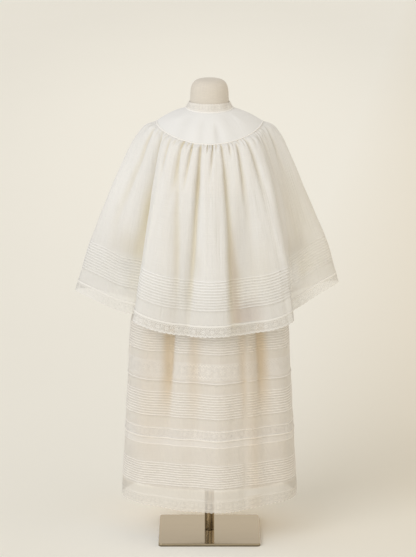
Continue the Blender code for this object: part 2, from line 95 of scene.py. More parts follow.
CAPE_GATHERS = 48
FRONT_GAP_TOP, FRONT_GAP_HEM = 0.0020, 0.0140
FRONT_EASE = 150  # degrees round, from where the cloth is drawn back for the front opening
SKIRT_HEM, WAIST, SKIRT_TUCKS = 0.0750, 0.6900, 10
HEM_SIDE_LIFT = 0.0085
ARMHOLE_HEIGHT, ARMHOLE_HALF_DEPTH, ARMHOLE_HALF_HEIGHT = 0.7780, 0.0250, 0.0290
WAIST_HALF_WIDTH, WAIST_HALF_DEPTH = 0.0870, 0.0735
SLIP_HEM, SLIP_TOP = 0.1150, 0.6896

# The cape's lace edge seen from above: the radius and height of the cloth at each angle.
CAPE_EDGE = (
    # angle, radius, height
    (-180, 0.150, 0.430),
    (-158, 0.160, 0.434),
    (-142, 0.180, 0.446),
    (-128, 0.186, 0.454),
    (-118, 0.163, 0.458),
    (-110, 0.180, 0.467),
    (-100, 0.234, 0.486),
    (-91, 0.2625, 0.493),
    (-84, 0.238, 0.484),
    (-76, 0.186, 0.463),
    (-68, 0.158, 0.456),
    (-60, 0.168, 0.457),
    (-51, 0.190, 0.457),
    (-40, 0.182, 0.446),
    (-24, 0.158, 0.4345),
    (0, 0.150, 0.4315),
    (24, 0.160, 0.4345),
    (42, 0.190, 0.445),
    (53, 0.199, 0.455),
    (62, 0.178, 0.459),
    (70, 0.166, 0.463),
    (77, 0.186, 0.474),
    (85, 0.2295, 0.498),
    (92, 0.2522, 0.508),
    (100, 0.2300, 0.500),
    (110, 0.180, 0.477),
    (118, 0.165, 0.463),
    (128, 0.188, 0.456),
    (140, 0.182, 0.446),
    (158, 0.160, 0.434),
    (180, 0.150, 0.430),
)

# How the cape leaves the yoke: the share of its spread and of its drop, along its length.
CAPE_PROFILE = (
    # along, spread, drop
    (0.00, 0.000, 0.000),
    (0.04, 0.130, 0.022),
    (0.10, 0.235, 0.075),
    (0.18, 0.330, 0.155),
    (0.30, 0.450, 0.280),
    (0.45, 0.590, 0.435),
    (0.60, 0.720, 0.590),
    (0.75, 0.840, 0.745),
    (0.90, 0.940, 0.900),
    (1.00, 1.000, 1.000),
)

# The cape's long folds: a ridge stands out, a valley (negative) falls in.
CAPE_FOLDS = (
    # angle at the yoke, angle at the edge, width, near the yoke, halfway, at the edge
    (-151, -156, 7, -0.006, -0.007, -0.003),
    (-136, -138, 6, 0.003, 0.004, 0.002),
    (-122, -125, 5, -0.005, -0.004, 0.000),
    (-99, -99, 5, -0.003, -0.004, -0.002),
    (-82, -82, 5, -0.003, -0.004, -0.002),
    (-76, -76, 7, 0.002, 0.005, 0.002),
    (-64, -64, 6.3, -0.013, -0.014, -0.005),
    (-52, -54, 6, -0.001, -0.008, -0.003),
    (-35, -22, 4.5, -0.005, -0.004, -0.001),
    (-22, -20, 9, 0.000, -0.003, -0.004),
    (-10.5, -17, 4.6, -0.008, -0.009, -0.004),
    (1, 3, 8, 0.003, 0.005, 0.002),
    (19, 19, 6.0, -0.008, -0.012, -0.007),
    (27, 30, 9, 0.001, -0.009, -0.007),
    (34, 34, 4, -0.005, -0.002, -0.001),
    (46, 50, 4, -0.004, -0.002, 0.000),
    (57, 56, 5, 0.005, 0.008, 0.001),
    (70, 70, 8, 0.006, 0.013, 0.006),
    (84, 84, 5, -0.003, -0.004, -0.002),
    (100, 100, 5, -0.003, -0.004, -0.002),
    (121, 123, 5, -0.005, -0.004, 0.000),
    (135, 137, 6, 0.003, 0.004, 0.002),
    (150, 154, 7, -0.006, -0.007, -0.003),
)
FOLD_PLACES = (0.22, 0.60, 1.00)  # where along the cape those depths are read

# The gathers of the back, as narrow hollows that begin at the yoke. The front has the same kind.
BACK_GATHERS = (
    # angle at the yoke, angle where it ends, width, depth in mm, where it ends along the cape
    (-106, -111, 2.0, 4.0, 0.26),
    (-98, -101, 1.7, 3.0, 0.14),
    (-91, -95, 1.8, 4.0, 0.22),
    (-84, -87, 1.6, 3.0, 0.12),
    (-76, -83, 1.9, 5.0, 0.72),
    (-69, -71, 1.4, 3.0, 0.10),
    (-63, -69, 2.5, 8.5, 0.78),
    (-55, -55, 1.4, 3.0, 0.09),
    (-47.5, -46, 1.5, 5.0, 0.32),
    (-40.5, -41, 1.2, 4.0, 0.08),
    (-32.5, -38, 1.5, 4.5, 0.50),
    (-30, -29, 1.0, 2.5, 0.05),
    (-20.5, -27, 1.5, 6.5, 0.34),
    (-18.5, -18, 1.0, 3.0, 0.06),
    (-10.5, -15.5, 1.5, 5.5, 0.55),
    (-1.5, -2.5, 1.2, 4.0, 0.08),
    (4, 0.5, 1.5, 6.5, 0.24),
    (8.5, 9, 1.0, 2.5, 0.05),
    (14.5, 20, 1.6, 6.0, 0.60),
    (24, 24, 1.3, 4.5, 0.13),
    (32.5, 33, 1.6, 6.5, 0.40),
    (38, 38, 1.1, 3.0, 0.06),
    (44, 52, 1.7, 5.5, 0.44),
    (52, 52, 1.2, 3.0, 0.10),
    (58, 60, 1.3, 3.5, 0.10),
    (63, 73, 1.8, 2.2, 0.40),
    (70, 72, 1.4, 3.0, 0.10),
    (79, 81, 1.8, 4.0, 0.40),
    (87, 90, 1.6, 3.0, 0.12),
    (96, 100, 1.8, 4.0, 0.24),
    (105, 109, 1.7, 3.5, 0.16),
)

SKIRT_SECTIONS = (
    # height, half width, half depth
    (0.075, 0.1740, 0.1165),
    (0.200, 0.1680, 0.1130),
    (0.330, 0.1605, 0.1090),
    (0.450, 0.1525, 0.1040),
    (0.520, 0.1370, 0.0970),
    (0.600, 0.1140, 0.0870),
    (0.660, 0.0945, 0.0775),
    (0.690, 0.0870, 0.0735),
)

SKIRT_FOLDS = (
    # angle, width, at the waist, under the cape, halfway, at the hem
    (-172, 13, 0.000, 0.010, 0.010, 0.007),
    (-148, 8, 0.000, -0.012, -0.008, -0.004),
    (-124, 10, 0.000, 0.008, 0.008, 0.005),
    (-100, 8, 0.000, -0.006, -0.005, -0.003),
    (-74, 8, 0.000, 0.003, 0.004, 0.003),
    (-60, 9, 0.000, 0.007, 0.008, 0.007),
    (-42, 7, 0.000, -0.015, -0.007, -0.001),
    (-17, 8, 0.000, -0.003, -0.003, -0.002),
    (9, 15, 0.000, 0.013, 0.013, 0.010),
    (34, 5, 0.000, -0.0015, -0.003, -0.002),
    (53, 7, 0.000, -0.012, -0.006, -0.001),
    (70, 9, 0.000, 0.006, 0.006, 0.005),
    (102, 8, 0.000, -0.008, -0.006, -0.004),
    (126, 10, 0.000, 0.009, 0.009, 0.006),
    (150, 7, 0.000, -0.012, -0.009, -0.005),
)
SKIRT_FOLD_HEIGHTS = (0.69, 0.46, 0.27, 0.075)

# The skirt's pieces from the hem up, by their edges and their lowest tuck above the hem.
SKIRT_PIECES = (
    # name, lower edge, upper edge, lowest tuck, from tuck to tuck
    ("skirt_hem_lace", 0.0000, 0.0275, None, None),
    ("skirt_lower_panel", 0.0275, 0.1290, 0.0504, 0.0047),
    ("skirt_lower_insertion", 0.1290, 0.1650, None, None),
    ("skirt_middle_panel", 0.1650, 0.2630, 0.1877, 0.0051),
    ("skirt_upper_insertion", 0.2630, 0.2970, None, None),
    ("skirt_upper_panel", 0.2970, WAIST - SKIRT_HEM, 0.3150, 0.0050),
)

SLIP_SECTIONS = (
    # height, half width, half depth
    (SLIP_HEM, 0.1570, 0.1020),
    (0.3300, 0.1430, 0.0920),
    (0.5000, 0.1200, 0.0800),
    (0.6200, 0.0900, 0.0725),
    (SLIP_TOP, WAIST_HALF_WIDTH - 0.0019, WAIST_HALF_DEPTH - 0.0019),
)

SLEEVE_RINGS = (
    # distance from the middle, height, slope of the sleeve, half depth, half height
    (0.1130, 0.7640, 25, 0.0240, 0.0260),
    (0.1280, 0.7000, 60, 0.0240, 0.0250),
    (0.1660, 0.5750, 75, 0.0240, 0.0240),
)
SLEEVE_PLACES = (0.0, 0.022, 0.088, 0.218)  # how far down the sleeve the armhole and those rings lie

FORM_SECTIONS = (
    # height, half width, half depth
    (0.6900, 0.0800, 0.0665),
    (0.6300, 0.0740, 0.0610),
    (0.5700, 0.0760, 0.0620),
    (0.5250, 0.0750, 0.0610),
    (0.5060, 0.0670, 0.0540),
    (0.5000, 0.0540, 0.0430),
    (0.4998, 0.0450, 0.0360),
    (0.4998, 0.0250, 0.0200),
)
FORM_NECK = (
    # height, radius
    (0.9110, 0.0000),
    (0.9106, 0.0120),
    (0.9094, 0.0210),
    (0.9060, 0.0290),
    (0.8970, 0.0355),
    (0.8840, 0.0370),
    (0.8660, 0.0374),
)
# Where the form's rings lie under the yoke, from neck seam (0) to yoke seam (1), and from there to the waist.
FORM_YOKE_RINGS = (-0.08, 0.03, 0.2, 0.35, 0.52, 0.70, 0.85, 0.97)
FORM_BODICE_RINGS = (0.15, 0.35, 0.55, 0.78)

# ---------------------------------------------------------------- what the finish adds to them

BODICE_CLEARANCE, CLEARANCE_EASE = 0.0004, 0.0005  # how far off the bodice deep folds rest, and how softly
SLIP_INSET, BODICE_INSET, LACE_INSET = 0.0003, 0.0003, 0.0001  # how far inside their solids they lie
FOLD_STEP, CORD_STEP = 0.0003, 0.0004  # how much cloth the edge of a fold takes, and that of a cord
SLIP_TURNING, CUFF_TURNING, FRONT_TURNING = 0.0140, 0.0090, 0.0052  # width of the cloth turned in
BODICE_MEAN_RADIUS, FORM_MEAN_RADIUS = 0.07, 0.08
CAPE_TUCK_EXTRA = 0.0004  # how much deeper the cape's tucks are than the skirt's

# How fine the grids are: columns round the piece, and the most there is between two rows.
CAPE_COLUMNS, CAPE_LACE_COLUMNS, SKIRT_COLUMNS, HEM_COLUMNS = 576, 1152, 384, 960
CAPE_STEP, CAPE_UPPER_STEP, CAPE_LACE_STEP = 0.0052, 0.0030, 0.0018
SKIRT_STEP, SLIP_STEP, SLEEVE_STEP, LACE_STEP = 0.0055, 0.0110, 0.0035, 0.0022
CAPE_TUCKED_SHARE, CAPE_TOP_SHARE = 0.72, 0.9995  # of the cape's length: where its finer rows begin and end

FULL_GATHER = 6  # mm, what a whole gather depth stands for in the table of gathers
FRONT_GATHERS, FRONT_GATHERS_SPAN = 113, 134  # degrees: where the front's begin, and how far round they go
GATHER_REACHES = (0.07, 0.10, 0.15, 0.24, 0.38, 0.50)  # how far along the cape the front's may end
GATHER_START, GATHER_END = (-0.012, 0.042), (0.30, 1.0)  # along the cape, and along the gather's own reach
PUCKERS_ROUND = 78  # short puckers between the gathers
PUCKER_START, PUCKER_END = (0.000, 0.008), (0.02, 0.075)  # along the cape
WAIST_GATHERS, WAIST_GATHER_DEPTH = 60, 0.0008
HEM_LIFT_REACH = 0.05  # above the hem, where its lift at the sides has died away
CRUMPLE_WAVES = (0.075, 0.052, 0.038, 0.027, 0.019)
CAPE_VALLEY_WIDTH = 0.72  # a valley of the cape is narrower than a ridge by this
CAPE_SMALL_FOLD, SKIRT_SMALL_FOLD, SLIP_SMALL_FOLD, YOKE_DENT = 0.0024, 0.0008, 0.0040, 0.0013
CUFF_PUCKER, SLEEVE_FOLD, COLLAR_RIPPLE = 0.0010, 0.0016, 0.0007
NARROW_HOLLOW, WIDE_HOLLOW = (0.0035, 0.6), (0.014, 0.4)  # the depth that is full, and its share of the shade
CAPE_HOLLOWS, SKIRT_HOLLOWS = (2.6, 9), (5, 12)  # degrees to each side: for narrow hollows and for wide ones
WING_START, WING_END = (66, 82), (100, 125)  # degrees from the centre back, for both wings of the cape
PRESSED_START, PRESSED_END = (66, 74), (106, 114)  # where the tucks of the +X wing are pressed
FLANK_START, FLANK_END = (45, 60), (80, 105)  # the shaded side of the skirt
LINED_FROM = (0.038, 0.046)  # above the skirt's hem, where the slip begins to lie behind it
SCALLOP_CURVE, SCALLOP_REACH, COLLAR_SCALLOP = 0.6, 0.007, 0.0062

# Painted shade, as shares of a cloth's own colour: in its hollows, where it is thin, and where it is thin
# over a dark fold.
LAWN_SHADE, LACE_SHADE = (0.865, 0.80, 0.64), (0.87, 0.82, 0.70)
SKIRT_SHADE, SLEEVE_SHADE = (0.86, 0.745, 0.585), (0.62, 0.54, 0.44)
THIN_SHADE, DUSK_SHADE = (0.82, 0.81, 0.79), (0.84, 0.76, 0.72)
NET_MESH = 0.0014

SKIRT_LACES = {
    # colour, middle of the flowers above the lower edge, repeat, net, lined, patchy, corded lines
    "skirt_hem_lace": ("hem_thread", 0.0125, 0.0176, 0.35, 0.50, 0.4, ((0.0225, 0.0014, 0.0004),)),
    "skirt_lower_insertion": (
        "skirt_lawn", 0.0248, 0.0200, 0.14, 0.70, 0.7,
        ((0.0018, 0.0004, 0.0003), (0.0150, 0.0014, 0.0011), (0.0335, 0.0006, 0.0003)),
    ),
    "skirt_upper_insertion": ("skirt_lawn", 0.0175, 0.0270, 0.14, 0.70, 0.7, ()),
}
FAINT_FLOWERS = {
    # angle where the flowers show best, width, how far they are worn and pressed flat elsewhere
    "skirt_lower_insertion": (-8, 12, 0.80),
    "skirt_upper_insertion": (-8, 24, 0.85),
}
HEM_CORD_SHOWS = 0.4
PANEL_CORDS = {"skirt_middle_panel": (0.0052, 0.0009, 0.0010)}  # below its upper edge, half width, rise
CAPE_CORDS = ((0.0018, 0.0006, 0.0003), (0.0226, 0.0019, 0.0006))  # middle, half width, rise
CAPE_LACE_LAP, CAPE_LACE_OUT = 0.0008, 0.0002  # how far it laps over the cape, and how far outside it lies
CAPE_FLOWERS, COLLAR_FLOWERS = (0.0176, 0.0112), (0.0125, 0.0085)  # repeat, middle above the lower edge

YOKE_WRINKLES = (
    # angle, width, depth, how far down from the neck it begins
    (-40, 9, 0.0007, 0.0),
    (-12, 5.5, 0.0008, 0.1),
    (11, 4.0, 0.0015, 0.3),
    (34, 8, 0.0007, 0.0),
    (150, 8, 0.0010, 0.1),
    (-155, 7, 0.0010, 0.2),
)
# A yoke wrinkle gets grey painted shade, full at this depth.
FULL_WRINKLE = 0.0032  # the depth that would be as grey as thin cloth

# Painted shade where cuffs or folds lie behind the cape's cloth. Rows with less than none take painted shade
# away.
DIM_PLACES = (
    # angle, width, place along the cape, its length, how dark, how warm
    (-73, 5, 0.74, 0.05, 0.40, 0.00),
    (-74, 5, 0.66, 0.10, 0.05, 0.45),
    (-69, 3, 0.42, 0.12, 0.00, 0.38),
    (-30, 13, 0.62, 0.35, 0.12, 0.09),
    (-21, 5, 0.68, 0.20, 0.45, 0.00),
    (-19, 4, 0.78, 0.07, 0.00, 0.40),
    (-10, 4, 0.62, 0.08, 0.20, 0.22),
    (18, 3, 0.78, 0.06, 0.00, 0.30),
    (20, 4.5, 0.88, 0.13, -0.20, 0.90),
    (20, 4, 0.64, 0.19, 0.10, 0.80),
    (24, 4, 0.72, 0.07, 0.00, 0.50),
    (28, 7, 0.58, 0.22, 0.75, 0.00),
    (29, 7, 0.89, 0.05, 0.52, 0.38),
    (30, 8, 0.36, 0.17, 0.24, 0.15),
    (33, 11, 0.74, 0.16, 0.00, 0.32),
    (37, 9, 0.66, 0.13, 0.18, 0.10),
    (72, 4.5, 0.82, 0.07, -0.60, -0.40),
    (77, 5, 0.70, 0.05, 0.25, 0.00),
    (89, 6, 0.89, 0.05, 0.50, 0.10),
)
# Painted shadow of deep folds that lie behind the cape, given to the cloth as layers less than none.
FOLD_SHADOW_PLACES = (
    # angle, width, where along the cape it begins, where it is full, how strong
    (21, 3.4, 0.36, 0.76, 0.78),
    (28, 7, 0.78, 0.88, 0.70),
)

LEVEL = 0.001  # an edge that rises less than this lies level
PLATE_CORNER, PLATE_EDGE_EASE, POST_EDGE_EASE = 0.0075, 0.0009, 0.0006
PLATE_CUT_SIDE = 0.0040  # the height of the plate's darker cut sides

FLOOR_RADIUS = 22.0
# Painted light: the paper's glow lifts the shadow round the stand.
GLOW_REACH, GLOW_STRENGTH = 0.18, 0.17  # the paper's own faint light round the stand
LIGHTS_AIM = (0.0, 0.0, 0.45)
CAMERA_PLACE, CAMERA_AIM = (-0.0028, -5.4, 1.653), (-0.0028, 0.0, 0.516)

# ---------------------------------------------------------------- sizes and colours to change


def length(name, description, default, low=0.0, high=1.0):
    return bpy.props.FloatProperty(
        name=name, description=description, default=default, min=low, max=high, precision=5, unit="LENGTH"
    )


def colour(name, description, default):
    return bpy.props.FloatVectorProperty(
        name=name, description=description, default=default, size=3, min=0.0, max=1.0, subtype="COLOR"
    )


def share(name, description, default):
    return bpy.props.FloatProperty(
        name=name, description=description, default=default, min=0.0, max=1.0, subtype="FACTOR"
    )


class GownSizes(bpy.types.PropertyGroup):
    """Sizes of the needlework."""

    tuck_rise: length("Tuck Rise", "How far the folded edge of a pin tuck stands out", 0.0006)
    tuck_depth: length("Tuck Depth", "How much cloth lies under the edge of a pin tuck", 0.0016)
    gather_depth: length("Gather Depth", "Deepest hollow between two gathers under the yoke", 0.0052)
    crease_height: length("Crease Height", "Height of the soft creases over all the cloth", 0.00045)
    scallop_width: length("Scallop Width", "Width of one scallop of the lace edges", 0.0088, 0.002, 0.1)
    scallop_depth: length("Scallop Depth", "Depth of the scallops of the lace edges", 0.0022)
    piping: length("Piping", "Thickness of the piping at the neck and yoke seams", 0.0028)


class GownColours(bpy.types.PropertyGroup):
    """Colours of the finishes, and how closely the cloth is woven."""

    lawn: colour("Cape Lawn", "Colour of the sheer cotton lawn of the cape", (0.834, 0.828, 0.808))
    # Painted shade: the yoke's lawn is darker than the cape's, as the yoke faces the light more.
    yoke_lawn: colour("Yoke Lawn", "Colour of the doubled lawn of the yoke", (0.748, 0.745, 0.732))
    # Painted shade: the skirt's lawn is darker and warmer than the cape's, as the upright skirt gets less
    # light.
    skirt_lawn: colour("Skirt Lawn", "Colour of the sheer cotton lawn of the skirt", (0.766, 0.732, 0.676))
    collar_thread: colour("Collar Thread", "Colour of the collar's lace", (0.81, 0.775, 0.715))
    # Painted shade: the hem's lace is darker than the cape's lace, as the hem is seen against shade.
    hem_thread: colour("Hem Thread", "Colour of the thin lace of the hem", (0.655, 0.62, 0.558))
    # Painted shade: slip, bodice and sleeves are warm and dark, for the shade inside the gown.
    lining: colour("Slip Cotton", "Colour of the slip and of what is under the cape", (0.80, 0.72, 0.61))
    lace: colour("Lace", "Colour of the cape's cotton lace and of the piping", (0.86, 0.85, 0.825))
    linen: colour("Form Linen", "Colour of the linen cover of the dress form", (0.645, 0.597, 0.525))
    steel: colour("Plate Steel", "Colour of the brushed steel of the base plate", (0.560, 0.470, 0.330))
    post_steel: colour("Post Steel", "Colour of the darker polished steel of the post", (0.58, 0.48, 0.34))
    paper: colour("Studio Paper", "Colour of the studio floor", (0.93, 0.912, 0.845))
    cape_cover: share("Cape Cover", "How much of the cape's lawn is thread, seen from straight on", 0.80)
    skirt_cover: share("Skirt Cover", "How much of the skirt's lawn is thread, seen from straight on", 0.70)
    net_cover: share("Net Cover", "How much of the lace's net ground is thread", 0.60)


# ---------------------------------------------------------------- surfaces, for arrays of places


def curve(rows, x, column):
    """A column of a table at each x, on a smooth curve through its rows. The first column is x."""
    table = np.array(rows, float)
    places, values = table[:, 0], table[:, column]
    slopes = np.gradient(values, places)
    slopes[1:-1] = (values[2:] - values[:-2]) / (places[2:] - places[:-2])
    x = np.clip(x, places[0], places[-1])
    k = np.clip(np.searchsorted(places, x) - 1, 0, len(places) - 2)
    span = places[k + 1] - places[k]
    t = (x - places[k]) / span
    return (
        values[k] * (1 + 2 * t) * (1 - t) ** 2
        + values[k + 1] * t * t * (3 - 2 * t)
        + span * t * (1 - t) * ((1 - t) * slopes[k] - t * slopes[k + 1])
    )


def level(places, depths, x):
    """The depth at each x, on straight lines between the places."""
    order = np.argsort(places)
    return np.interp(x, np.array(places)[order], np.array(depths)[order])


def bump(angle, centre, width):
    """1 at the centre of a fold, falling to 0 over its width, the short way round."""
    away = (angle - centre + 180) % 360 - 180
    return np.exp(-((away / width) ** 2))


def soft_step(x, low, high):
    """0 below low, 1 above high and smooth between."""
    t = np.clip((x - low) / (high - low), 0, 1)
    return t * t * (3 - 2 * t)


def on_axis(angle, radius, height):
    turn = np.radians(angle)
    return np.stack(np.broadcast_arrays(radius * np.sin(turn), -radius * np.cos(turn), height), -1)


def oval_radius(angle, half_width, half_depth):
    turn = np.radians(angle)
    return 1 / np.hypot(np.sin(turn) / half_width, np.cos(turn) / half_depth)


def shoulder_rise(angle):
    """0 at the centre back and front, 1 on the shoulders."""
    return 1 - np.abs(np.cos(np.radians(angle))) ** SEAM_CURVE


def neck_seam(angle):
    height = NECK_BACK_HEIGHT + NECK_SIDE_RISE * shoulder_rise(angle)
    return on_axis(angle, oval_radius(angle, NECK_HALF_WIDTH, NECK_HALF_DEPTH), height)


def yoke_seam(angle):
    height = YOKE_BACK_HEIGHT + YOKE_SHOULDER_RISE * shoulder_rise(angle)
    return on_axis(angle, oval_radius(angle, YOKE_HALF_WIDTH, YOKE_HALF_DEPTH), height)


def yoke_form(angle, along):
    """The yoke's outside, from the neck seam (0) to the gathering seam (1)."""
    neck, seam = neck_seam(angle), yoke_seam(angle)
    spread, drop = [first * along + second * along * along for first, second in (YOKE_SPREAD, YOKE_DROP)]
    share_of = np.stack(np.broadcast_arrays(spread, spread, drop), -1)
    return neck + (seam - neck) * share_of


def bodice_form(angle, down):
    """The bodice's outside from just under the yoke seam (0) to the waist (1)."""
    inset = LAWN_WALL + LAYER_GAP
    half_width = (YOKE_HALF_WIDTH - inset) * (1 - down) + WAIST_HALF_WIDTH * down
    half_depth = (YOKE_HALF_DEPTH - inset) * (1 - down) + WAIST_HALF_DEPTH * down
    height = (YOKE_BACK_HEIGHT + YOKE_SHOULDER_RISE * shoulder_rise(angle)) * (1 - down) + WAIST * down
    return on_axis(angle, oval_radius(angle, half_width, half_depth), height)


def bodice_side(y, height):
    """How far the bodice's outside is from the middle at these depths and heights, near the arm."""
    down = np.zeros_like(y)
    for _ in range(12):
        half_width = (YOKE_HALF_WIDTH - LAWN_WALL) * (1 - down) + WAIST_HALF_WIDTH * down
        half_depth = (YOKE_HALF_DEPTH - LAWN_WALL) * (1 - down) + WAIST_HALF_DEPTH * down
        x = half_width * np.sqrt(1 - (y / half_depth) ** 2)
        seam = yoke_seam(np.degrees(np.arctan2(x, -y)))[..., 2]
        down = (seam - height) / (seam - WAIST)
    return x


def moved_in(form, angle, along, distance):
    """Points of a form that runs down, moved along its outward normal."""
    across = form(angle + 0.5, along) - form(angle - 0.5, along)
    down = form(angle, along + 0.002) - form(angle, along - 0.002)
    normal = np.cross(down, across)
    return form(angle, along) + normal / np.linalg.norm(normal, axis=-1, keepdims=True) * distance


def clear_of_bodice(angle, radius, height):
    """The radius of the cape's cloth, eased so that its deepest folds rest just off the bodice."""
    top = YOKE_BACK_HEIGHT + YOKE_SHOULDER_RISE * shoulder_rise(angle)
    inside = bodice_form(angle, np.clip((top - height) / (top - WAIST), 0, 1))
    least = np.hypot(inside[..., 0], inside[..., 1]) + BODICE_CLEARANCE
    return 0.5 * (radius + least + np.hypot(radius - least, CLEARANCE_EASE))


def all_gathers():
    """The gathers of the back, and as many of the same kind on the front, uneven in size and length."""
    chance = np.random.default_rng(11)
    front = CAPE_GATHERS - len(BACK_GATHERS)
    made = list(BACK_GATHERS)
    for k in range(front):
        angle = FRONT_GATHERS + FRONT_GATHERS_SPAN * (k + 0.5) / front + chance.uniform(-1.8, 1.8)
        angle = (angle + 180) % 360 - 180
        reach = chance.choice(GATHER_REACHES)
        end, width, depth = angle + chance.uniform(-5, 5), chance.uniform(1.2, 1.8), chance.uniform(3, 7)
        made.append((angle, end, width, depth, reach))
    return made


def gathers(angle, along, full):
    """How far the gathers under the yoke seam, and the short puckers between them, draw the cape in."""
    lift = np.zeros(np.broadcast(angle, along).shape)
    for start, end, width, depth, reach in all_gathers():
        centre = start + (end - start) * np.minimum(1.0, along / reach)
        fall = soft_step(along, *GATHER_START) * (1 - soft_step(along / reach, *GATHER_END))
        lift -= full * depth / FULL_GATHER * fall * bump(angle, centre, width * (1 + 1.6 * along))
    turn = np.radians(angle * PUCKERS_ROUND)
    turn = turn + 2.2 * np.sin(np.radians(angle * 7)) + 1.4 * np.sin(np.radians(angle * 17))
    size = 0.6 + 0.4 * np.sin(np.radians(angle * 11) + 1.0)
    short = soft_step(along, *PUCKER_START) * (1 - soft_step(along, *PUCKER_END))
    return lift + full * short * (0.42 - 0.90 * size * (0.5 + 0.5 * np.sin(turn)))


def small_folds(angle, share_down, count, height, seed, narrow=2.2, wide=5.0):
    """Soft folds of uneven width and length between the long ones."""
    chance = np.random.default_rng(seed)
    lift = np.zeros(np.broadcast(angle, share_down).shape)
    for _ in range(count):
        middle, lean = chance.uniform(-180, 180), chance.uniform(-7, 7)
        width, size = chance.uniform(narrow, wide), chance.uniform(-1, 1) * height
        top = chance.uniform(0.0, 0.5)
        end = top + chance.uniform(0.35, 0.9)
        inside = np.clip((share_down - top) / (end - top), 0, 1)
        lift += size * np.sin(pi * inside) ** 1.5 * bump(angle, middle + lean * share_down, width)
    return lift


def crumple(across, above, height, seed):
    """Low uneven waves in all directions, as laundered cotton has."""
    chance = np.random.default_rng(seed)
    lift = np.zeros(np.broadcast(across, above).shape)
    for wave in CRUMPLE_WAVES:
        for _ in range(3):
            turn, start = chance.uniform(0, 2 * pi), chance.uniform(0, 2 * pi)
            run = across * np.cos(turn) + above * np.sin(turn) * 0.6
            lift += height * (wave / CRUMPLE_WAVES[0]) * np.sin(2 * pi * run / wave + start)
    return lift / 3


def cape_form(angle, along, gather_depth):
    """The cape's outside with its folds and gathers, from the gathering seam (0) to the lace edge (1)."""
    seam = yoke_seam(angle)
    spread, drop = curve(CAPE_PROFILE, along, 1), curve(CAPE_PROFILE, along, 2)
    start = np.hypot(seam[..., 0], seam[..., 1])
    radius = start + (curve(CAPE_EDGE, angle, 1) - start) * spread
    height = seam[..., 2] + (curve(CAPE_EDGE, angle, 2) - seam[..., 2]) * drop
    near = np.minimum(1.0, np.maximum(0.0, along) / FOLD_PLACES[0])
    for start_angle, end_angle, width, *depths in CAPE_FOLDS:
        centre = start_angle + (end_angle - start_angle) * along
        wide = width * CAPE_VALLEY_WIDTH if min(depths) < 0 else width
        radius = radius + near * level(FOLD_PLACES, depths, along) * bump(angle, centre, wide)
    radius = radius + gathers(angle, along, gather_depth)
    radius = radius + small_folds(angle, along, count=70, height=CAPE_SMALL_FOLD, seed=23)
    return on_axis(angle, clear_of_bodice(angle, radius, height), height)


def skirt_form(angle, above):
    """The skirt's outside at this distance above its hem, which is drawn up a little at the sides."""
    drawn_up = HEM_SIDE_LIFT * soft_step(np.abs(np.sin(np.radians(angle))), 0.35, 0.95)
    height = SKIRT_HEM + above + drawn_up * np.clip(1 - above / HEM_LIFT_REACH, 0, 1)
    half_width, half_depth = curve(SKIRT_SECTIONS, height, 1), curve(SKIRT_SECTIONS, height, 2)
    radius = oval_radius(angle, half_width, half_depth)
    for centre, width, *depths in SKIRT_FOLDS:
        radius = radius + level(SKIRT_FOLD_HEIGHTS, depths, height) * bump(angle, centre, width)
    down = (WAIST - height) / (WAIST - SKIRT_HEM)
    folds = small_folds(angle, down, count=60, height=SKIRT_SMALL_FOLD, seed=5, narrow=2.5, wide=6.0)
    radius = radius + folds * soft_step(down, 0.02, 0.2)
    waist = WAIST_GATHER_DEPTH * np.sin(np.radians(angle * WAIST_GATHERS)) * np.exp(-((down / 0.12) ** 2))
    return on_axis(angle, radius + waist * soft_step(down, 0.0, 0.02), height)


def outward(points, closed):
    """The outward normal at every point of a grid."""
    if closed:
        ring = points[:, :-1]
        across = np.roll(ring, -1, axis=1) - np.roll(ring, 1, axis=1)
        across = np.concatenate((across, across[:, :1]), axis=1)
    else:
        across = np.gradient(points, axis=1)
    normal = np.cross(across, np.gradient(points, axis=0))
    return normal / np.maximum(np.linalg.norm(normal, axis=-1, keepdims=True), 1e-12)


def hollows(points, reaches, closed):
    """How deep each point lies between its neighbours along the row, from 0 on a ridge to 1 in a fold."""
    degree = (points.shape[1] - 1) / 360
    far = np.hypot(points[..., 0], points[..., 1])
    ring = far[:, :-1] if closed else far
    deep = np.zeros(ring.shape)
    for degrees, (full, most) in zip(reaches, (NARROW_HOLLOW, WIDE_HOLLOW)):
        reach = int(degrees * degree)
        mean = ring
        for _ in range(2):
            side = np.pad(mean, ((0, 0), (reach + 1, reach)), mode="wrap" if closed else "edge")
            total = np.cumsum(side, axis=1)
            mean = (total[:, 2 * reach + 1 :] - total[:, : -2 * reach - 1]) / (2 * reach + 1)
        deep += most * np.clip((mean - ring) / full, 0, 1)
    deep = np.minimum(deep, 1.0)
    return np.concatenate((deep, deep[:, :1]), axis=1) if closed else deep


def open_angles(columns):
    """Angles from one front edge, round the back, to the other, closer together at the sides."""
    even = np.linspace(-180, 180, columns + 1)
    return even + 4 * np.sin(np.radians(2 * even))


def clear_of_front(angle, radius, gap):
    """Draws the last columns back from the centre front by half the opening."""
    most = 180 - np.degrees(gap / 2 / radius)
    size = np.abs(angle)
    drawn = FRONT_EASE + (size - FRONT_EASE) * (most - FRONT_EASE) / (180 - FRONT_EASE)
    return np.sign(angle) * np.where(size > FRONT_EASE, drawn, size)


def run_along(points):
    """The distance along each row of points."""
    steps = np.linalg.norm(np.diff(points, axis=-2), axis=-1)
    return np.concatenate((np.zeros(steps.shape[:-1] + (1,)), np.cumsum(steps, axis=-1)), axis=-1)


def run_up(points):
    """The mean distance of each row from the bottom one, as a column."""
    return run_along(points.transpose(1, 0, 2)).mean(0)[:, None]


def seamless(values):
    """Values of a closed grid, eased so that the last column meets the first."""
    columns = values.shape[1]
    ease = soft_step(np.arange(columns) / (columns - 1), 0.97, 1.0)
    return values * (1 - ease) + values[:, :1] * ease


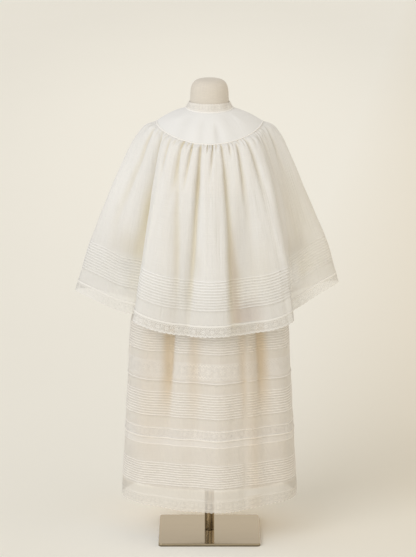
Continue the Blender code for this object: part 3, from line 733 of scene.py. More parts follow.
def fitted(round_it, repeat):
    """A repeat near this one that goes a whole number of times round."""
    return round_it / max(1, round(round_it / repeat))


def scallop_fit(round_it, width):
    """What the distance round is multiplied by, so that whole scallops fill it."""
    return width * round(round_it / width) / round_it


def scalloped(across, above, sizes):
    """Heights of lace rows whose lower edge is drawn up between the scallops."""
    wave = np.abs(np.cos(pi * across / sizes.scallop_width))
    lift = sizes.scallop_depth * (1 - wave**SCALLOP_CURVE)
    return above + lift * np.clip(1 - above / SCALLOP_REACH, 0, 1)


def tuck_strength(angle, above):
    """1 where the skirt's tucks stand out, less in the deep folds that pull them flat."""
    strip = bump(angle, 36.5 - 2.5 * (0.33 - above) / 0.25, 2.4)
    left = 0.75 * bump(angle, -43, 6) * soft_step(above, 0.24, 0.30)
    right = 0.75 * bump(angle, 51, 6) * soft_step(above, 0.15, 0.28)
    return np.clip(1 - strip - left - right, 0, 1)


def tuck_rows(lowest, pitch, count, depth, rise):
    """(above the edge, how far out, layers) for the rows of a band of pin tucks, from the bottom up."""
    rows = []
    for k in range(count):
        edge = lowest + k * pitch
        rows += [(edge - FOLD_STEP, 0.0, 0.0), (edge, rise, 1.0)]
        rows += [(edge + depth - FOLD_STEP, 0.25 * rise, 1.0), (edge + depth, 0.0, 0.0)]
    return rows


def cord_rows(cords):
    """The same for corded lines, each with its middle above the edge, its half width and its rise."""
    rows = []
    for middle, half, rise in cords:
        rows += [(middle - half - CORD_STEP, 0.0, 0.0), (middle - half, rise, 1.0)]
        rows += [(middle + half, rise, 1.0), (middle + half + CORD_STEP, 0.0, 0.0)]
    return rows


def between(rows, low, high, step):
    """The rows with plain ones added, no more than a step apart, from low to high."""
    kept = [(low, 0.0, 0.0)] * (not rows or rows[0][0] > low + 1e-5) + list(rows)
    if kept[-1][0] < high - 1e-5:
        kept.append((high, 0.0, 0.0))
    full = [kept[0]]
    for row in kept[1:]:
        before = full[-1]
        parts = max(1, int(np.ceil((row[0] - before[0]) / step)))
        full += [tuple(np.array(before) + (np.array(row) - before) * k / parts) for k in range(1, parts)]
        full.append(row)
    return np.array(full)


def lace_rows(low, high, cords, step=LACE_STEP):
    """Rows of a strip of lace with its corded lines."""
    return between([row for row in cord_rows(cords) if low <= row[0] <= high], low, high, step)


# ---------------------------------------------------------------- making pieces


def show(name, data, finish_of, nodes=(), smooth=True):
    """Puts a piece in the scene on the gown's one body, in place of the CAD nodes it stands for."""
    if smooth:
        data.shade_smooth()
    data.materials.append(finish_of)
    made = bpy.data.objects.new(name, data)
    bpy.context.scene.collection.objects.link(made)
    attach(made, "root")
    if nodes:
        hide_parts(*nodes)
    return made


def mesh_data(name, mesh):
    """A piece's mesh, from a bmesh that isn't needed any more."""
    data = bpy.data.meshes.new(name)
    mesh.to_mesh(data)
    mesh.free()
    return data


def ease_edges(mesh, edges, width, segments):
    """Rounds off these edges."""
    bmesh.ops.bevel(
        mesh, geom=edges, offset=width, segments=segments, profile=0.5, affect="EDGES", material=-1
    )


def rise_of(edge):
    return abs(edge.verts[0].co.z - edge.verts[1].co.z)


def cloth_grid(name, points, across, above, layers=0.0, closed=False, hollow=0.0, thin=0.0):
    """A grid of cloth through these points, with its UV map in metres. At each point it carries its extra
    layers, how much warm painted shade it gets in a hollow and how much grey painted shade it gets
    where it is thin."""
    rows, columns = points.shape[:2]
    mesh = bmesh.new()
    bmesh.ops.create_grid(mesh, x_segments=columns - 1, y_segments=rows - 1, size=1.0)
    data = mesh_data(name, mesh)
    if len(data.vertices) != rows * columns:
        raise RuntimeError(f"{name}: the grid has {len(data.vertices)} points, not {rows * columns}")
    data.vertices.foreach_set("co", points.reshape(-1).astype(np.float32))
    for key, values in (("layers", layers), ("hollow", hollow), ("thin", thin)):
        kept = data.attributes.new(key, "FLOAT", "POINT")
        values = np.broadcast_to(values, (rows, columns)).reshape(-1)
        kept.data.foreach_set("value", values.astype(np.float32))
    corners = np.empty(len(data.loops), np.int32)
    data.loops.foreach_get("vertex_index", corners)
    places = np.stack(np.broadcast_arrays(across, above), -1).reshape(-1, 2)
    data.uv_layers.new(name="cloth").data.foreach_set("uv", places[corners].reshape(-1).astype(np.float32))
    mesh = bmesh.new()
    mesh.from_mesh(data)
    if closed:
        bmesh.ops.remove_doubles(mesh, verts=mesh.verts, dist=1e-6)
    mesh.to_mesh(data)
    mesh.free()
    data.update()
    return data


def tube(name, path, thickness, sides=10):
    """A round tube along a path of points, closed at both ends."""
    path = np.concatenate((path[:1], path, path[-1:]))
    ahead = np.gradient(path, axis=0)
    ahead[0], ahead[-1] = ahead[1], ahead[-2]
    ahead /= np.linalg.norm(ahead, axis=-1, keepdims=True)
    side = np.cross(ahead, (0, 0, 1.0))
    side /= np.linalg.norm(side, axis=-1, keepdims=True)
    up = np.cross(side, ahead)
    turn = np.linspace(0, 2 * pi, sides + 1)[:, None, None]
    size = np.full(len(path), thickness / 2)
    size[0] = size[-1] = 0.0
    points = path + (side * np.cos(turn) + up * np.sin(turn)) * size[:, None]
    along = run_along(path[None])[0]
    round_it = turn[..., 0] / (2 * pi) * thickness * pi
    return cloth_grid(name, points, along, round_it, layers=1.0, closed=True, hollow=0.15, thin=0.30)


# ---------------------------------------------------------------- finishes


class Nodes:
    """Short calls that add nodes to a material or a node group."""

    def __init__(self, tree):
        self.tree = tree

    def add(self, kind, inputs=None, **settings):
        made = self.tree.nodes.new(kind)
        for key, value in settings.items():
            setattr(made, key, value)
        for key, value in (inputs or {}).items():
            self.put(made.inputs[key], value)
        return made

    def put(self, socket, value):
        if isinstance(value, bpy.types.NodeSocket):
            self.tree.links.new(value, socket)
        else:
            socket.default_value = value

    def math(self, operation, *values, clamp=False):
        made = self.add("ShaderNodeMath", dict(enumerate(values)), operation=operation, use_clamp=clamp)
        return made.outputs[0]

    def plus(self, first, second):
        return self.math("ADD", first, second)

    def minus(self, first, second):
        return self.math("SUBTRACT", first, second)

    def times(self, first, second):
        return self.math("MULTIPLY", first, second)

    def times_plus(self, value, share_of, more, clamp=False):
        return self.math("MULTIPLY_ADD", value, share_of, more, clamp=clamp)

    def unsigned(self, value):
        return self.math("ABSOLUTE", value)

    def vector(self, operation, *values):
        made = self.add("ShaderNodeVectorMath", dict(enumerate(values)), operation=operation)
        return made.outputs["Value" if operation in ("LENGTH", "DISTANCE") else "Vector"]

    def axes(self, place):
        return self.add("ShaderNodeSeparateXYZ", {"Vector": place}).outputs

    def ranged(self, value, low, high, to_low=0.0, to_high=1.0, smooth=False):
        """How far the value is from low to high, as a number from to_low to to_high."""
        made = self.add(
            "ShaderNodeMapRange",
            {"Value": value, "From Min": low, "From Max": high, "To Min": to_low, "To Max": to_high},
            interpolation_type="SMOOTHSTEP" if smooth else "LINEAR",
        )
        return made.outputs["Result"]

    def line(self, distance, half_width, soft):
        """1 where the distance is less than the half width, with a soft edge."""
        return self.ranged(distance, half_width + soft, half_width - soft, smooth=True)

    def noise(self, place, scale, detail=2.0, roughness=0.5):
        made = self.add(
            "ShaderNodeTexNoise",
            {"Vector": place, "Scale": scale, "Detail": detail, "Roughness": roughness},
        )
        return made.outputs["Fac"]

    def stretched_noise(self, place, stretch, detail=1.0):
        """Noise that is drawn out in some directions. The stretch is its scale along each axis."""
        return self.noise(self.vector("MULTIPLY", place, stretch), 1.0, detail)

    def mix(self, factor, first, second):
        """A colour between two."""
        made = self.add("ShaderNodeMix", data_type="RGBA")
        colours = [socket for socket in made.inputs if socket.type == "RGBA"]
        self.put(made.inputs["Factor"], factor)
        for socket, value in zip(colours, (first, second)):
            self.put(socket, value if isinstance(value, bpy.types.NodeSocket) else (*value, 1.0))
        return next(socket for socket in made.outputs if socket.type == "RGBA")

    def laid_out(self):
        """Places on the cloth as it is laid out, in metres."""
        return self.add("ShaderNodeUVMap", uv_map="cloth").outputs["UV"]

    def carried(self, name):
        """A value that the cloth carries at each of its points."""
        return self.add("ShaderNodeAttribute", attribute_name=name).outputs["Fac"]

    def effect(self, build, inputs):
        """The outputs of a shared node group, which is built where it is first used."""
        name = build.__name__.replace("_", " ")
        group = bpy.data.node_groups.get(name) or build(name)
        return self.add("ShaderNodeGroup", inputs, node_tree=group).outputs

    def raise_by(self, shader, height):
        """Gives a finish its relief, from its height in metres."""
        raised = self.add("ShaderNodeBump", {"Height": height, "Distance": 1.0, "Strength": 1.0})
        self.put(shader.inputs["Normal"], raised.outputs["Normal"])


def node_group(name, inputs, outputs):
    """A new shader node group: its nodes, its input sockets by name, and its output node's sockets."""
    group = bpy.data.node_groups.new(name, "ShaderNodeTree")
    for key, (kind, default) in inputs.items():
        made = group.interface.new_socket(key, in_out="INPUT", socket_type=kind)
        if default is not None:
            made.default_value = default
    for key in outputs:
        group.interface.new_socket(key, in_out="OUTPUT", socket_type="NodeSocketFloat")
    nodes = Nodes(group)
    return nodes, nodes.add("NodeGroupInput").outputs, nodes.add("NodeGroupOutput").inputs


def plain_weave(name):
    """Threads over and under one another, with a few thicker ones both ways."""
    nodes, given, out = node_group(
        name,
        {"Vector": ("NodeSocketVector", None), "Threads per Metre": ("NodeSocketFloat", 2600.0)},
        ("Weave", "Slubs"),
    )
    place, count = given["Vector"], given["Threads per Metre"]
    turns = [nodes.times(nodes.times(axis, count), pi) for axis in nodes.axes(place)[:2]]
    across, up = [nodes.math("COSINE", turn) for turn in turns]
    over = nodes.times_plus(nodes.times(across, up), 0.5, 0.5)
    warp = nodes.times(nodes.unsigned(nodes.math("SINE", turns[0])), over)
    weft = nodes.times(nodes.unsigned(nodes.math("SINE", turns[1])), nodes.minus(1.0, over))
    nodes.put(out["Weave"], nodes.math("MAXIMUM", warp, weft))
    long_way, cross_way = [
        nodes.stretched_noise(place, stretch) for stretch in ((1400.0, 22.0, 1.0), (26.0, 1400.0, 1.0))
    ]
    nodes.put(out["Slubs"], nodes.ranged(nodes.times(nodes.plus(long_way, cross_way), 0.5), 0.36, 0.64))
    return nodes.tree


def soft_creases(name):
    """Shallow creases that mostly run down the cloth, and a fainter crumple."""
    nodes, given, out = node_group(
        name,
        {"Vector": ("NodeSocketVector", None), "Size": ("NodeSocketFloat", 0.014)},
        ("Creases", "Streaks"),
    )
    shrunk = nodes.math("DIVIDE", 1.0, given["Size"])
    place = nodes.add("ShaderNodeVectorMath", {0: given["Vector"], "Scale": shrunk}, operation="SCALE")
    crumple_of = nodes.noise(place.outputs[0], 0.8, 3.0, 0.55)
    folds = nodes.stretched_noise(place.outputs[0], (1.0, 0.20, 1.0), 2.0)
    nodes.put(out["Creases"], nodes.times_plus(nodes.unsigned(nodes.minus(folds, 0.5)), -2.0, crumple_of))
    nodes.put(out["Streaks"], nodes.stretched_noise(given["Vector"], (230.0, 9.0, 1.0), 2.0))
    return nodes.tree


def flower_lace(name):
    """Machine lace: a row of small flowers on scrolling stems over a fine net. Its sizes are shares of one
    repeat."""
    nodes, given, out = node_group(
        name,
        {
            "Vector": ("NodeSocketVector", None),
            "Repeat": ("NodeSocketFloat", 0.0176),
            "Middle": ("NodeSocketFloat", 0.012),
            "Net": ("NodeSocketFloat", 0.42),
        },
        ("Thread", "Relief"),
    )
    place = nodes.axes(given["Vector"])
    cell = nodes.math("DIVIDE", place[0], given["Repeat"])
    x = nodes.minus(nodes.math("FRACT", cell), 0.5)
    y = nodes.math("DIVIDE", nodes.minus(place[1], given["Middle"]), given["Repeat"])

    def flower(across, up, size, petals):
        distance = nodes.math("SQRT", nodes.plus(nodes.times(across, across), nodes.times(up, up)))
        turn = nodes.times(nodes.math("ARCTAN2", up, across), float(petals))
        edge = nodes.times_plus(nodes.math("COSINE", turn), 0.24 * size, 0.76 * size)
        petal = nodes.line(nodes.minus(distance, edge), 0.0, 0.02)
        eye = nodes.line(nodes.unsigned(nodes.minus(distance, 0.26 * size)), 0.03, 0.02)
        return nodes.math("SUBTRACT", petal, nodes.times(eye, 0.55), clamp=True)

    big = flower(x, y, 0.24, 6)
    small = flower(nodes.minus(nodes.unsigned(x), 0.5), nodes.plus(y, -0.12), 0.15, 5)
    wave = nodes.math("COSINE", nodes.times(x, 2 * pi))
    stem = nodes.line(nodes.unsigned(nodes.minus(nodes.times(wave, 0.36), y)), 0.030, 0.015)
    low_stem = nodes.line(nodes.unsigned(nodes.times_plus(wave, 0.34, nodes.plus(y, 0.04))), 0.026, 0.015)
    leaf_edge = nodes.plus(nodes.times(nodes.math("SINE", nodes.times(x, 8 * pi)), 0.05), 0.42)
    leaf = nodes.line(nodes.unsigned(nodes.minus(nodes.unsigned(y), leaf_edge)), 0.045, 0.02)
    solid = big
    for part in (small, stem, low_stem, leaf):
        solid = nodes.math("MAXIMUM", solid, part)

    slants = (nodes.plus(place[0], place[1]), nodes.minus(place[0], place[1]))
    turns = [nodes.math("COSINE", nodes.times(slant, pi / NET_MESH)) for slant in slants]
    net = nodes.math("MAXIMUM", *[nodes.math("POWER", nodes.unsigned(turn), 3.0) for turn in turns])
    ground = nodes.times(net, nodes.times(given["Net"], 1.6))
    nodes.put(out["Thread"], nodes.math("MAXIMUM", solid, ground, clamp=True))
    nodes.put(out["Relief"], nodes.times_plus(net, 0.15, solid))
    return nodes.tree


def brushed_grain(name):
    """Fine straight scratches with a slow change of tone. Drawn out along the post, they are painted
    reflections.
    """
    nodes, given, out = node_group(
        name,
        {"Vector": ("NodeSocketVector", None), "Stretch": ("NodeSocketVector", (14.0, 900.0, 900.0))},
        ("Scratches", "Cloudiness"),
    )
    nodes.put(out["Scratches"], nodes.stretched_noise(given["Vector"], given["Stretch"], 3.0))
    nodes.put(out["Cloudiness"], nodes.noise(given["Vector"], 18.0, 2.0))
    return nodes.tree


def scaled(tone, *parts):
    """A colour with its channels multiplied by one number or by three, and none of them over 1."""
    return [min(1.0, channel * part) for channel, part in zip(tone, parts * (3 // len(parts)))]


def new_finish(name, roughness, metallic=0.0, sheen=0.0):
    made = bpy.data.materials.new(name)
    made.use_nodes = True
    shader = made.node_tree.nodes["Principled BSDF"]
    shader.inputs["Roughness"].default_value = roughness
    shader.inputs["Metallic"].default_value = metallic
    shader.inputs["Sheen Weight"].default_value = sheen
    shader.inputs["Sheen Roughness"].default_value = 0.5
    shader.inputs["Specular IOR Level"].default_value = 0.5 if metallic else 0.2
    return made, Nodes(made.node_tree), shader


def toned(nodes, clean, white, shade):
    """The colour of cloth with painted shade: warmer in its hollows, and greyer where it is thin over
    something dark.
    """
    hollow, thin = nodes.carried("hollow"), nodes.carried("thin")
    return nodes.mix(thin, nodes.mix(hollow, clean, scaled(white, *shade)), scaled(white, *THIN_SHADE))


def cotton(name, dye, cover=1.0, crease=0.0003, threads=2600.0, shade=LAWN_SHADE, streak=0.0011):
    """Woven cotton of this colour: how much of it is thread, how high its creases and streaks are, how many
    threads it has in a metre and the painted shade that its hollows turn to."""
    if name in bpy.data.materials:
        return bpy.data.materials[name]
    white = list(getattr(bpy.context.scene.gown_colours, dye))
    made, nodes, shader = new_finish(name, 0.82, sheen=0.25)
    place = nodes.laid_out()
    weave = nodes.effect(plain_weave, {"Vector": place, "Threads per Metre": threads})
    creases = nodes.effect(soft_creases, {"Vector": place})
    layers, slubs = nodes.carried("layers"), weave["Slubs"]
    if cover < 1:
        threaded = nodes.times_plus(slubs, 0.04, cover - 0.02)
        nodes.put(shader.inputs["Alpha"], nodes.times_plus(layers, 0.96 - cover, threaded, clamp=True))
    worn = nodes.mix(slubs, scaled(white, 0.985), white)
    plain = toned(nodes, nodes.mix(layers, worn, scaled(white, 1.02, 1.025, 1.05)), white, shade)
    # Layers less than none paint the shadow of a fold that lies behind the cloth.
    fold_shadow = nodes.times(nodes.math("MINIMUM", layers, 0.0), -1.0)
    fold_shadowed = nodes.vector("MULTIPLY", plain, DUSK_SHADE)
    nodes.put(shader.inputs["Base Color"], nodes.mix(fold_shadow, plain, fold_shadowed))
    height = nodes.times_plus(creases["Creases"], crease, nodes.times(weave["Weave"], 0.00003))
    height = nodes.times_plus(creases["Streaks"], streak, height)
    nodes.raise_by(shader, nodes.times_plus(slubs, 0.00004, height))
    return made


def lace_finish(name, dye, repeat, middle, net, lined=0.0, patchy=0.0, shade=LACE_SHADE):
    """Cotton lace with one row of flowers. Its corded edges are solid thread. Lined lace shows the cloth
    behind it, and patchy lace is worn in places."""
    if name in bpy.data.materials:
        return bpy.data.materials[name]
    white = list(getattr(bpy.context.scene.gown_colours, dye))
    made, nodes, shader = new_finish(name, 0.80, sheen=0.25)
    place = nodes.laid_out()
    lace = nodes.effect(flower_lace, {"Vector": place, "Repeat": repeat, "Middle": middle, "Net": net})
    layers, pattern = nodes.carried("layers"), lace["Thread"]
    if patchy:
        worn = nodes.stretched_noise(place, (17.0, 8.0, 1.0))
        pattern = nodes.times(pattern, nodes.ranged(worn, 0.38, 0.62, 1.0 - patchy))
    # Layers less than none fade the flowers, as on the cape's lace under a fold's painted shadow.
    pattern = nodes.times(pattern, nodes.plus(nodes.math("MINIMUM", layers, 0.0), 1.0))
    thread = nodes.math("MAXIMUM", pattern, layers, clamp=True)
    nodes.put(shader.inputs["Alpha"], nodes.times_plus(thread, 0.97 - lined, lined, clamp=True))
    ground, raised = ((1.045, 1.055, 1.08), 1.06) if patchy else ((0.93,), 1.0)
    clean = nodes.mix(thread, scaled(white, *ground), scaled(white, raised))
    # Painted shade in its hollows and where it is thin.
    nodes.put(shader.inputs["Base Color"], toned(nodes, clean, white, shade))
    nodes.raise_by(shader, nodes.times(lace["Relief"], 0.00035))
    return made


def form_linen():
    """Close linen, stretched smooth over the dress form."""
    name = "form linen"
    if name in bpy.data.materials:
        return bpy.data.materials[name]
    tone = bpy.context.scene.gown_colours.linen
    made, nodes, shader = new_finish(name, 0.75, sheen=0.2)
    weave = nodes.effect(plain_weave, {"Vector": nodes.laid_out(), "Threads per Metre": 1500.0})
    mottled = nodes.mix(weave["Slubs"], scaled(tone, 0.93), scaled(tone, 1.05))
    nodes.put(shader.inputs["Base Color"], mottled)
    nodes.raise_by(shader, nodes.times_plus(weave["Slubs"], 0.0001, nodes.times(weave["Weave"], 0.00008)))
    return made


def brushed_steel(name, tone, roughness, stretch, darkest, edge=0.0):
    """Warm steel with scratches or streaks that are long in one direction; the post's streaks are painted
    reflections. The darkest are this share of its tone. A plate's cut sides, below the edge height, are
    darker, and so is its top towards the back."""
    if name in bpy.data.materials:
        return bpy.data.materials[name]
    made, nodes, shader = new_finish(name, roughness, metallic=1.0)
    place = nodes.add("ShaderNodeTexCoord").outputs["Object"]
    grain = nodes.effect(brushed_grain, {"Vector": place, "Stretch": stretch})
    surface = nodes.mix(nodes.ranged(grain["Scratches"], 0.36, 0.62), scaled(tone, darkest), list(tone))
    if edge:
        axes = nodes.axes(place)
        by_back = nodes.ranged(axes["Y"], 0.04, -0.07)
        surface = nodes.mix(nodes.times(by_back, 0.12), surface, (0.0, 0.0, 0.0))
        surface = nodes.mix(nodes.ranged(axes["Z"], edge - 0.0008, edge), scaled(tone, 0.42), surface)
    nodes.put(shader.inputs["Base Color"], surface)
    rough = nodes.times_plus(grain["Cloudiness"], 0.06, roughness - 0.03)
    nodes.put(shader.inputs["Roughness"], rough)
    nodes.raise_by(shader, nodes.times(grain["Scratches"], 0.00003))
    return made


def studio_paper():
    """Matt paper with a faint uneven tone, a painted pool of light far beyond the stand and painted warm
    shade towards +X. It gives off a little light round the stand: painted light that lifts the shadow
    there.
    """
    tone = bpy.context.scene.gown_colours.paper
    made, nodes, shader = new_finish("studio paper", 0.9)
    place = nodes.add("ShaderNodeTexCoord").outputs["Object"]
    x, y, _ = nodes.axes(place)
    away = nodes.vector("MULTIPLY", nodes.vector("SUBTRACT", place, (0.0, 5.0, 0.0)), (1.0, 0.25, 1.0))
    # Painted light: a pool of light on the far paper, about 5 m beyond the stand.
    painted_light_pool = nodes.ranged(nodes.vector("LENGTH", away), 1.2, 0.25, smooth=True)
    plain = nodes.mix(nodes.noise(place, 1.2, 3.0), scaled(tone, 0.955), scaled(tone, 0.98))
    lit = nodes.mix(painted_light_pool, plain, scaled(tone, 1.05))
    # Painted shade: the paper is warmer and darker towards +X, more so farther from the camera.
    right = nodes.ranged(nodes.times_plus(y, -0.11, x), -0.02, 0.42)
    farther = nodes.ranged(y, -0.20, 0.35, 0.55, 1.10)
    right_shade = nodes.math("MULTIPLY", right, farther, clamp=True)
    warm = nodes.mix(right_shade, (1.0, 1.0, 1.0), (0.955, 0.915, 0.855))
    nodes.put(shader.inputs["Base Color"], nodes.vector("MULTIPLY", lit, warm))
    # Painted light: a faint glow round the stand, warmer towards +X and +Y.
    distance = nodes.vector("DISTANCE", place, (-0.03, 0.01, 0.0))
    near = nodes.math("EXPONENT", nodes.times(nodes.times(distance, distance), -1 / GLOW_REACH**2))
    behind = nodes.ranged(nodes.times_plus(x, 0.5, y), -0.10, 0.13)
    glow = nodes.mix(behind, (1.0, 1.0, 1.0), (1.0, 0.52, 0.0))
    nodes.put(shader.inputs["Emission Color"], nodes.mix(near, (0.0, 0.0, 0.0), glow))
    shader.inputs["Emission Strength"].default_value = GLOW_STRENGTH
    return made


# ---------------------------------------------------------------- operators


class PieceOperator:
    bl_options = {"REGISTER", "UNDO"}


class GOWN_OT_stand(PieceOperator, bpy.types.Operator):
    """Makes the brushed steel base plate with its eased edges, and the polished post"""

    bl_idname = "gown.stand"
    bl_label = "Stand"

    def execute(self, context):
        colours = context.scene.gown_colours
        low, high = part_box("base_plate")
        mesh = bmesh.new()
        bmesh.ops.create_cube(mesh, size=1.0)
        bmesh.ops.scale(mesh, vec=[b - a for a, b in zip(low, high)], verts=mesh.verts)
        bmesh.ops.translate(mesh, vec=[(a + b) / 2 for a, b in zip(low, high)], verts=mesh.verts)
        ease_edges(mesh, [edge for edge in mesh.edges if rise_of(edge) > LEVEL], PLATE_CORNER, 8)
        ease_edges(mesh, [edge for edge in mesh.edges if rise_of(edge) < LEVEL], PLATE_EDGE_EASE, 4)
        finish_of = brushed_steel(
            "brushed plate steel", colours.steel, 0.12, (10.0, 1100.0, 1100.0), 0.93, PLATE_CUT_SIDE
        )
        data = mesh_data("base_plate_steel", mesh)
        show("base_plate_steel", data, finish_of, ["base_plate"], smooth=False)

        low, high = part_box("post")
        radius, tall = (high[0] - low[0]) / 2, high[2] - low[2]
        middle = ((low[0] + high[0]) / 2, (low[1] + high[1]) / 2, low[2] + tall / 2)
        mesh = bmesh.new()
        bmesh.ops.create_cone(mesh, cap_ends=True, segments=64, radius1=radius, radius2=radius, depth=tall)
        bmesh.ops.translate(mesh, vec=middle, verts=mesh.verts)
        ease_edges(mesh, [edge for edge in mesh.edges if rise_of(edge) < LEVEL], POST_EDGE_EASE, 2)
        # The post's streaks, from a fifth of its tone up, are painted reflections.
        finish_of = brushed_steel("polished post steel", colours.post_steel, 0.16, (210.0, 210.0, 2.5), 0.20)
        show("post_steel", mesh_data("post_steel", mesh), finish_of, ["post"])
        return {"FINISHED"}


class GOWN_OT_dress_form(PieceOperator, bpy.types.Operator):
    """Makes the dress form: a neck with a round end, shoulders and a torso, covered in linen"""

    bl_idname = "gown.dress_form"
    bl_label = "Dress Form"

    def execute(self, context):
        angle = np.linspace(-180, 180, 97)
        under_bodice = -FINE_WALL - LAYER_GAP
        under_yoke = under_bodice - LAWN_WALL - LAYER_GAP
        rings = [on_axis(angle, radius, height) for height, radius in FORM_NECK]
        rings += [moved_in(yoke_form, angle, along, under_yoke) for along in FORM_YOKE_RINGS]
        rings += [moved_in(bodice_form, angle, down, under_bodice) for down in FORM_BODICE_RINGS]
        for height, wide, deep in FORM_SECTIONS:
            rings.append(on_axis(angle, oval_radius(angle, wide, deep), height))
        rings.append(on_axis(angle, 0.0, FORM_SECTIONS[-1][0]))
        points = np.array(rings[::-1])
        across = np.radians(angle) * FORM_MEAN_RADIUS
        data = cloth_grid("dress_form_cover", points, across, run_up(points), closed=True)
        made = show("dress_form_cover", data, form_linen(), ["dress_form"])
        rounder = made.modifiers.new("rounder", "SUBSURF")
        rounder.levels = rounder.render_levels = 1
        return {"FINISHED"}


class GOWN_OT_slip(PieceOperator, bpy.types.Operator):
    """Makes the plain underskirt that shows through the skirt"""

    bl_idname = "gown.slip"
    bl_label = "Slip"

    def execute(self, context):
        angle = np.linspace(-180, 180, 289)
        turned_up = SLIP_HEM + SLIP_TURNING
        rows = [(SLIP_HEM, 0.0, 1.0), (turned_up, 0.0, 1.0), (turned_up + FOLD_STEP, 0.0, 0.0)]
        rows = between(rows, SLIP_HEM, SLIP_TOP, SLIP_STEP)
        height, layers = rows[:, :1], rows[:, 2:]
        places, *sizes = np.array(SLIP_SECTIONS).T
        wide, deep = [np.interp(height, places, size) - SLIP_INSET for size in sizes]
        down = (WAIST - height) / (WAIST - SLIP_HEM)
        folds = small_folds(angle, down, count=40, height=SLIP_SMALL_FOLD, seed=31, narrow=4.0, wide=8.0)
        folds = np.abs(folds) * soft_step(down, 0.05, 0.3)
        points = on_axis(angle, oval_radius(angle, wide, deep) - folds, height)
        data = cloth_grid("slip_cloth", points, run_along(points)[:1], height - SLIP_HEM, layers, closed=True)
        finish_of = cotton("slip cotton", "lining", threads=2200.0)
        made = show("slip_cloth", data, finish_of, ["slip"])
        return {"FINISHED"}


class GOWN_OT_bodice(PieceOperator, bpy.types.Operator):
    """Makes the bodice, with its armholes"""

    bl_idname = "gown.bodice"
    bl_label = "Bodice"

    def from_armhole(self, place):
        """How far a place is from the middle of an armhole, as a share of the armhole's half size."""
        return np.hypot(place.y / ARMHOLE_HALF_DEPTH, (place.z - ARMHOLE_HEIGHT) / ARMHOLE_HALF_HEIGHT)

    def execute(self, context):
        angle = clear_of_front(open_angles(192), BODICE_MEAN_RADIUS, FRONT_GAP_TOP)
        under_yoke = -LAWN_WALL - LAYER_GAP
        top = [moved_in(yoke_form, angle, along, under_yoke) for along in np.linspace(0.03, 0.97, 20)]
        body = [bodice_form(angle, down) for down in np.linspace(0.12, 0.995, 40)]
        points = np.array((top + body)[::-1])
        points = points + outward(points, False) * -BODICE_INSET
        data = cloth_grid("bodice_cloth", points, run_along(points)[:1], run_up(points))
        mesh = bmesh.new()
        mesh.from_mesh(data)
        opened = [face for face in mesh.faces if self.from_armhole(face.calc_center_median()) < 1]
        bmesh.ops.delete(mesh, geom=opened, context="FACES")
        for vert in mesh.verts:
            far = self.from_armhole(vert.co)
            if vert.is_boundary and 0.8 < far < 1.2:
                vert.co.y /= far
                vert.co.z = ARMHOLE_HEIGHT + (vert.co.z - ARMHOLE_HEIGHT) / far
        mesh.to_mesh(data)
        mesh.free()
        finish_of = cotton("bodice lawn", "lining", crease=0.0002)
        made = show("bodice_cloth", data, finish_of, ["bodice"])
        return {"FINISHED"}


class GOWN_OT_sleeves(PieceOperator, bpy.types.Operator):
    """Makes the two plain sleeves that hang from the armholes to open cuffs"""

    bl_idname = "gown.sleeves"
    bl_label = "Sleeves"

    def rings(self, turn):
        """The armhole's ring and the rings below it, for the sleeve on the +X side."""
        y = (ARMHOLE_HALF_DEPTH + FINE_WALL) * np.cos(turn)
        z = ARMHOLE_HEIGHT + (ARMHOLE_HALF_HEIGHT + FINE_WALL) * np.sin(turn)
        made = [np.stack((bodice_side(y, z) + SEAM_GAP, y, z), -1)]
        for out, height, slope, deep, tall in SLEEVE_RINGS:
            lean = radians(slope)
            up = (tall + FINE_WALL) * np.sin(turn)
            y = (deep + FINE_WALL) * np.cos(turn)
            made.append(np.stack((out + np.sin(lean) * up, y, height + np.cos(lean) * up), -1))
        return np.array(made)

    def execute(self, context):
        turn = np.linspace(0, 2 * pi, 97)
        rings, places = self.rings(turn), np.array(SLEEVE_PLACES)
        long = SLEEVE_PLACES[-1]
        rows = [(0.0, 0.0, 1.0), (CUFF_TURNING, 0.0, 1.0), (CUFF_TURNING + CORD_STEP, 0.0, 0.0)]
        rows = between(rows, 0.0, long, SLEEVE_STEP)
        above, layers = rows[:, :1], rows[:, 2:]
        down = long - above
        k = np.clip(np.searchsorted(places, down[:, 0]) - 1, 0, len(places) - 2)
        t = ((down[:, 0] - places[k]) / (places[k + 1] - places[k]))[:, None, None]
        points = rings[k] * (1 - t) + rings[k + 1] * t
        puckers = CUFF_PUCKER * np.sin(turn * 14) * np.exp(-((down - 0.01) / 0.02) ** 2)
        soft = SLEEVE_FOLD * np.sin(turn * 5 + 9 * down) * np.sin(pi * np.clip(down / long, 0, 1))
        normal = np.cross(np.gradient(points, axis=1), np.gradient(points, axis=0))
        normal /= np.linalg.norm(normal, axis=-1, keepdims=True)
        centre = points.mean(axis=1, keepdims=True)
        facing = np.sign(np.sum((points - centre) * normal, axis=-1).mean())
        points = points + normal * facing * ((puckers + soft) * soft_step(down, 0.0, 0.006))[..., None]
        points[:, -1] = points[:, 0]
        # Painted shade: the cuffs are dark and warm where they show through the cape's wings.
        cuff_shade = 1 - soft_step(above, 0.010, 0.045)
        finish_of = cotton("sleeve lawn", "lining", 0.93, shade=SLEEVE_SHADE)
        for side, name in ((-1, "sleeve_left"), (1, "sleeve_right")):
            outside = points * (side, 1, 1)
            if facing * side < 0:
                outside = outside[:, ::-1]
            across = run_along(outside[:1])
            data = cloth_grid(f"{name}_cloth", outside, across, above, layers, closed=True, hollow=cuff_shade)
            made = show(f"{name}_cloth", data, finish_of, [name])
        return {"FINISHED"}


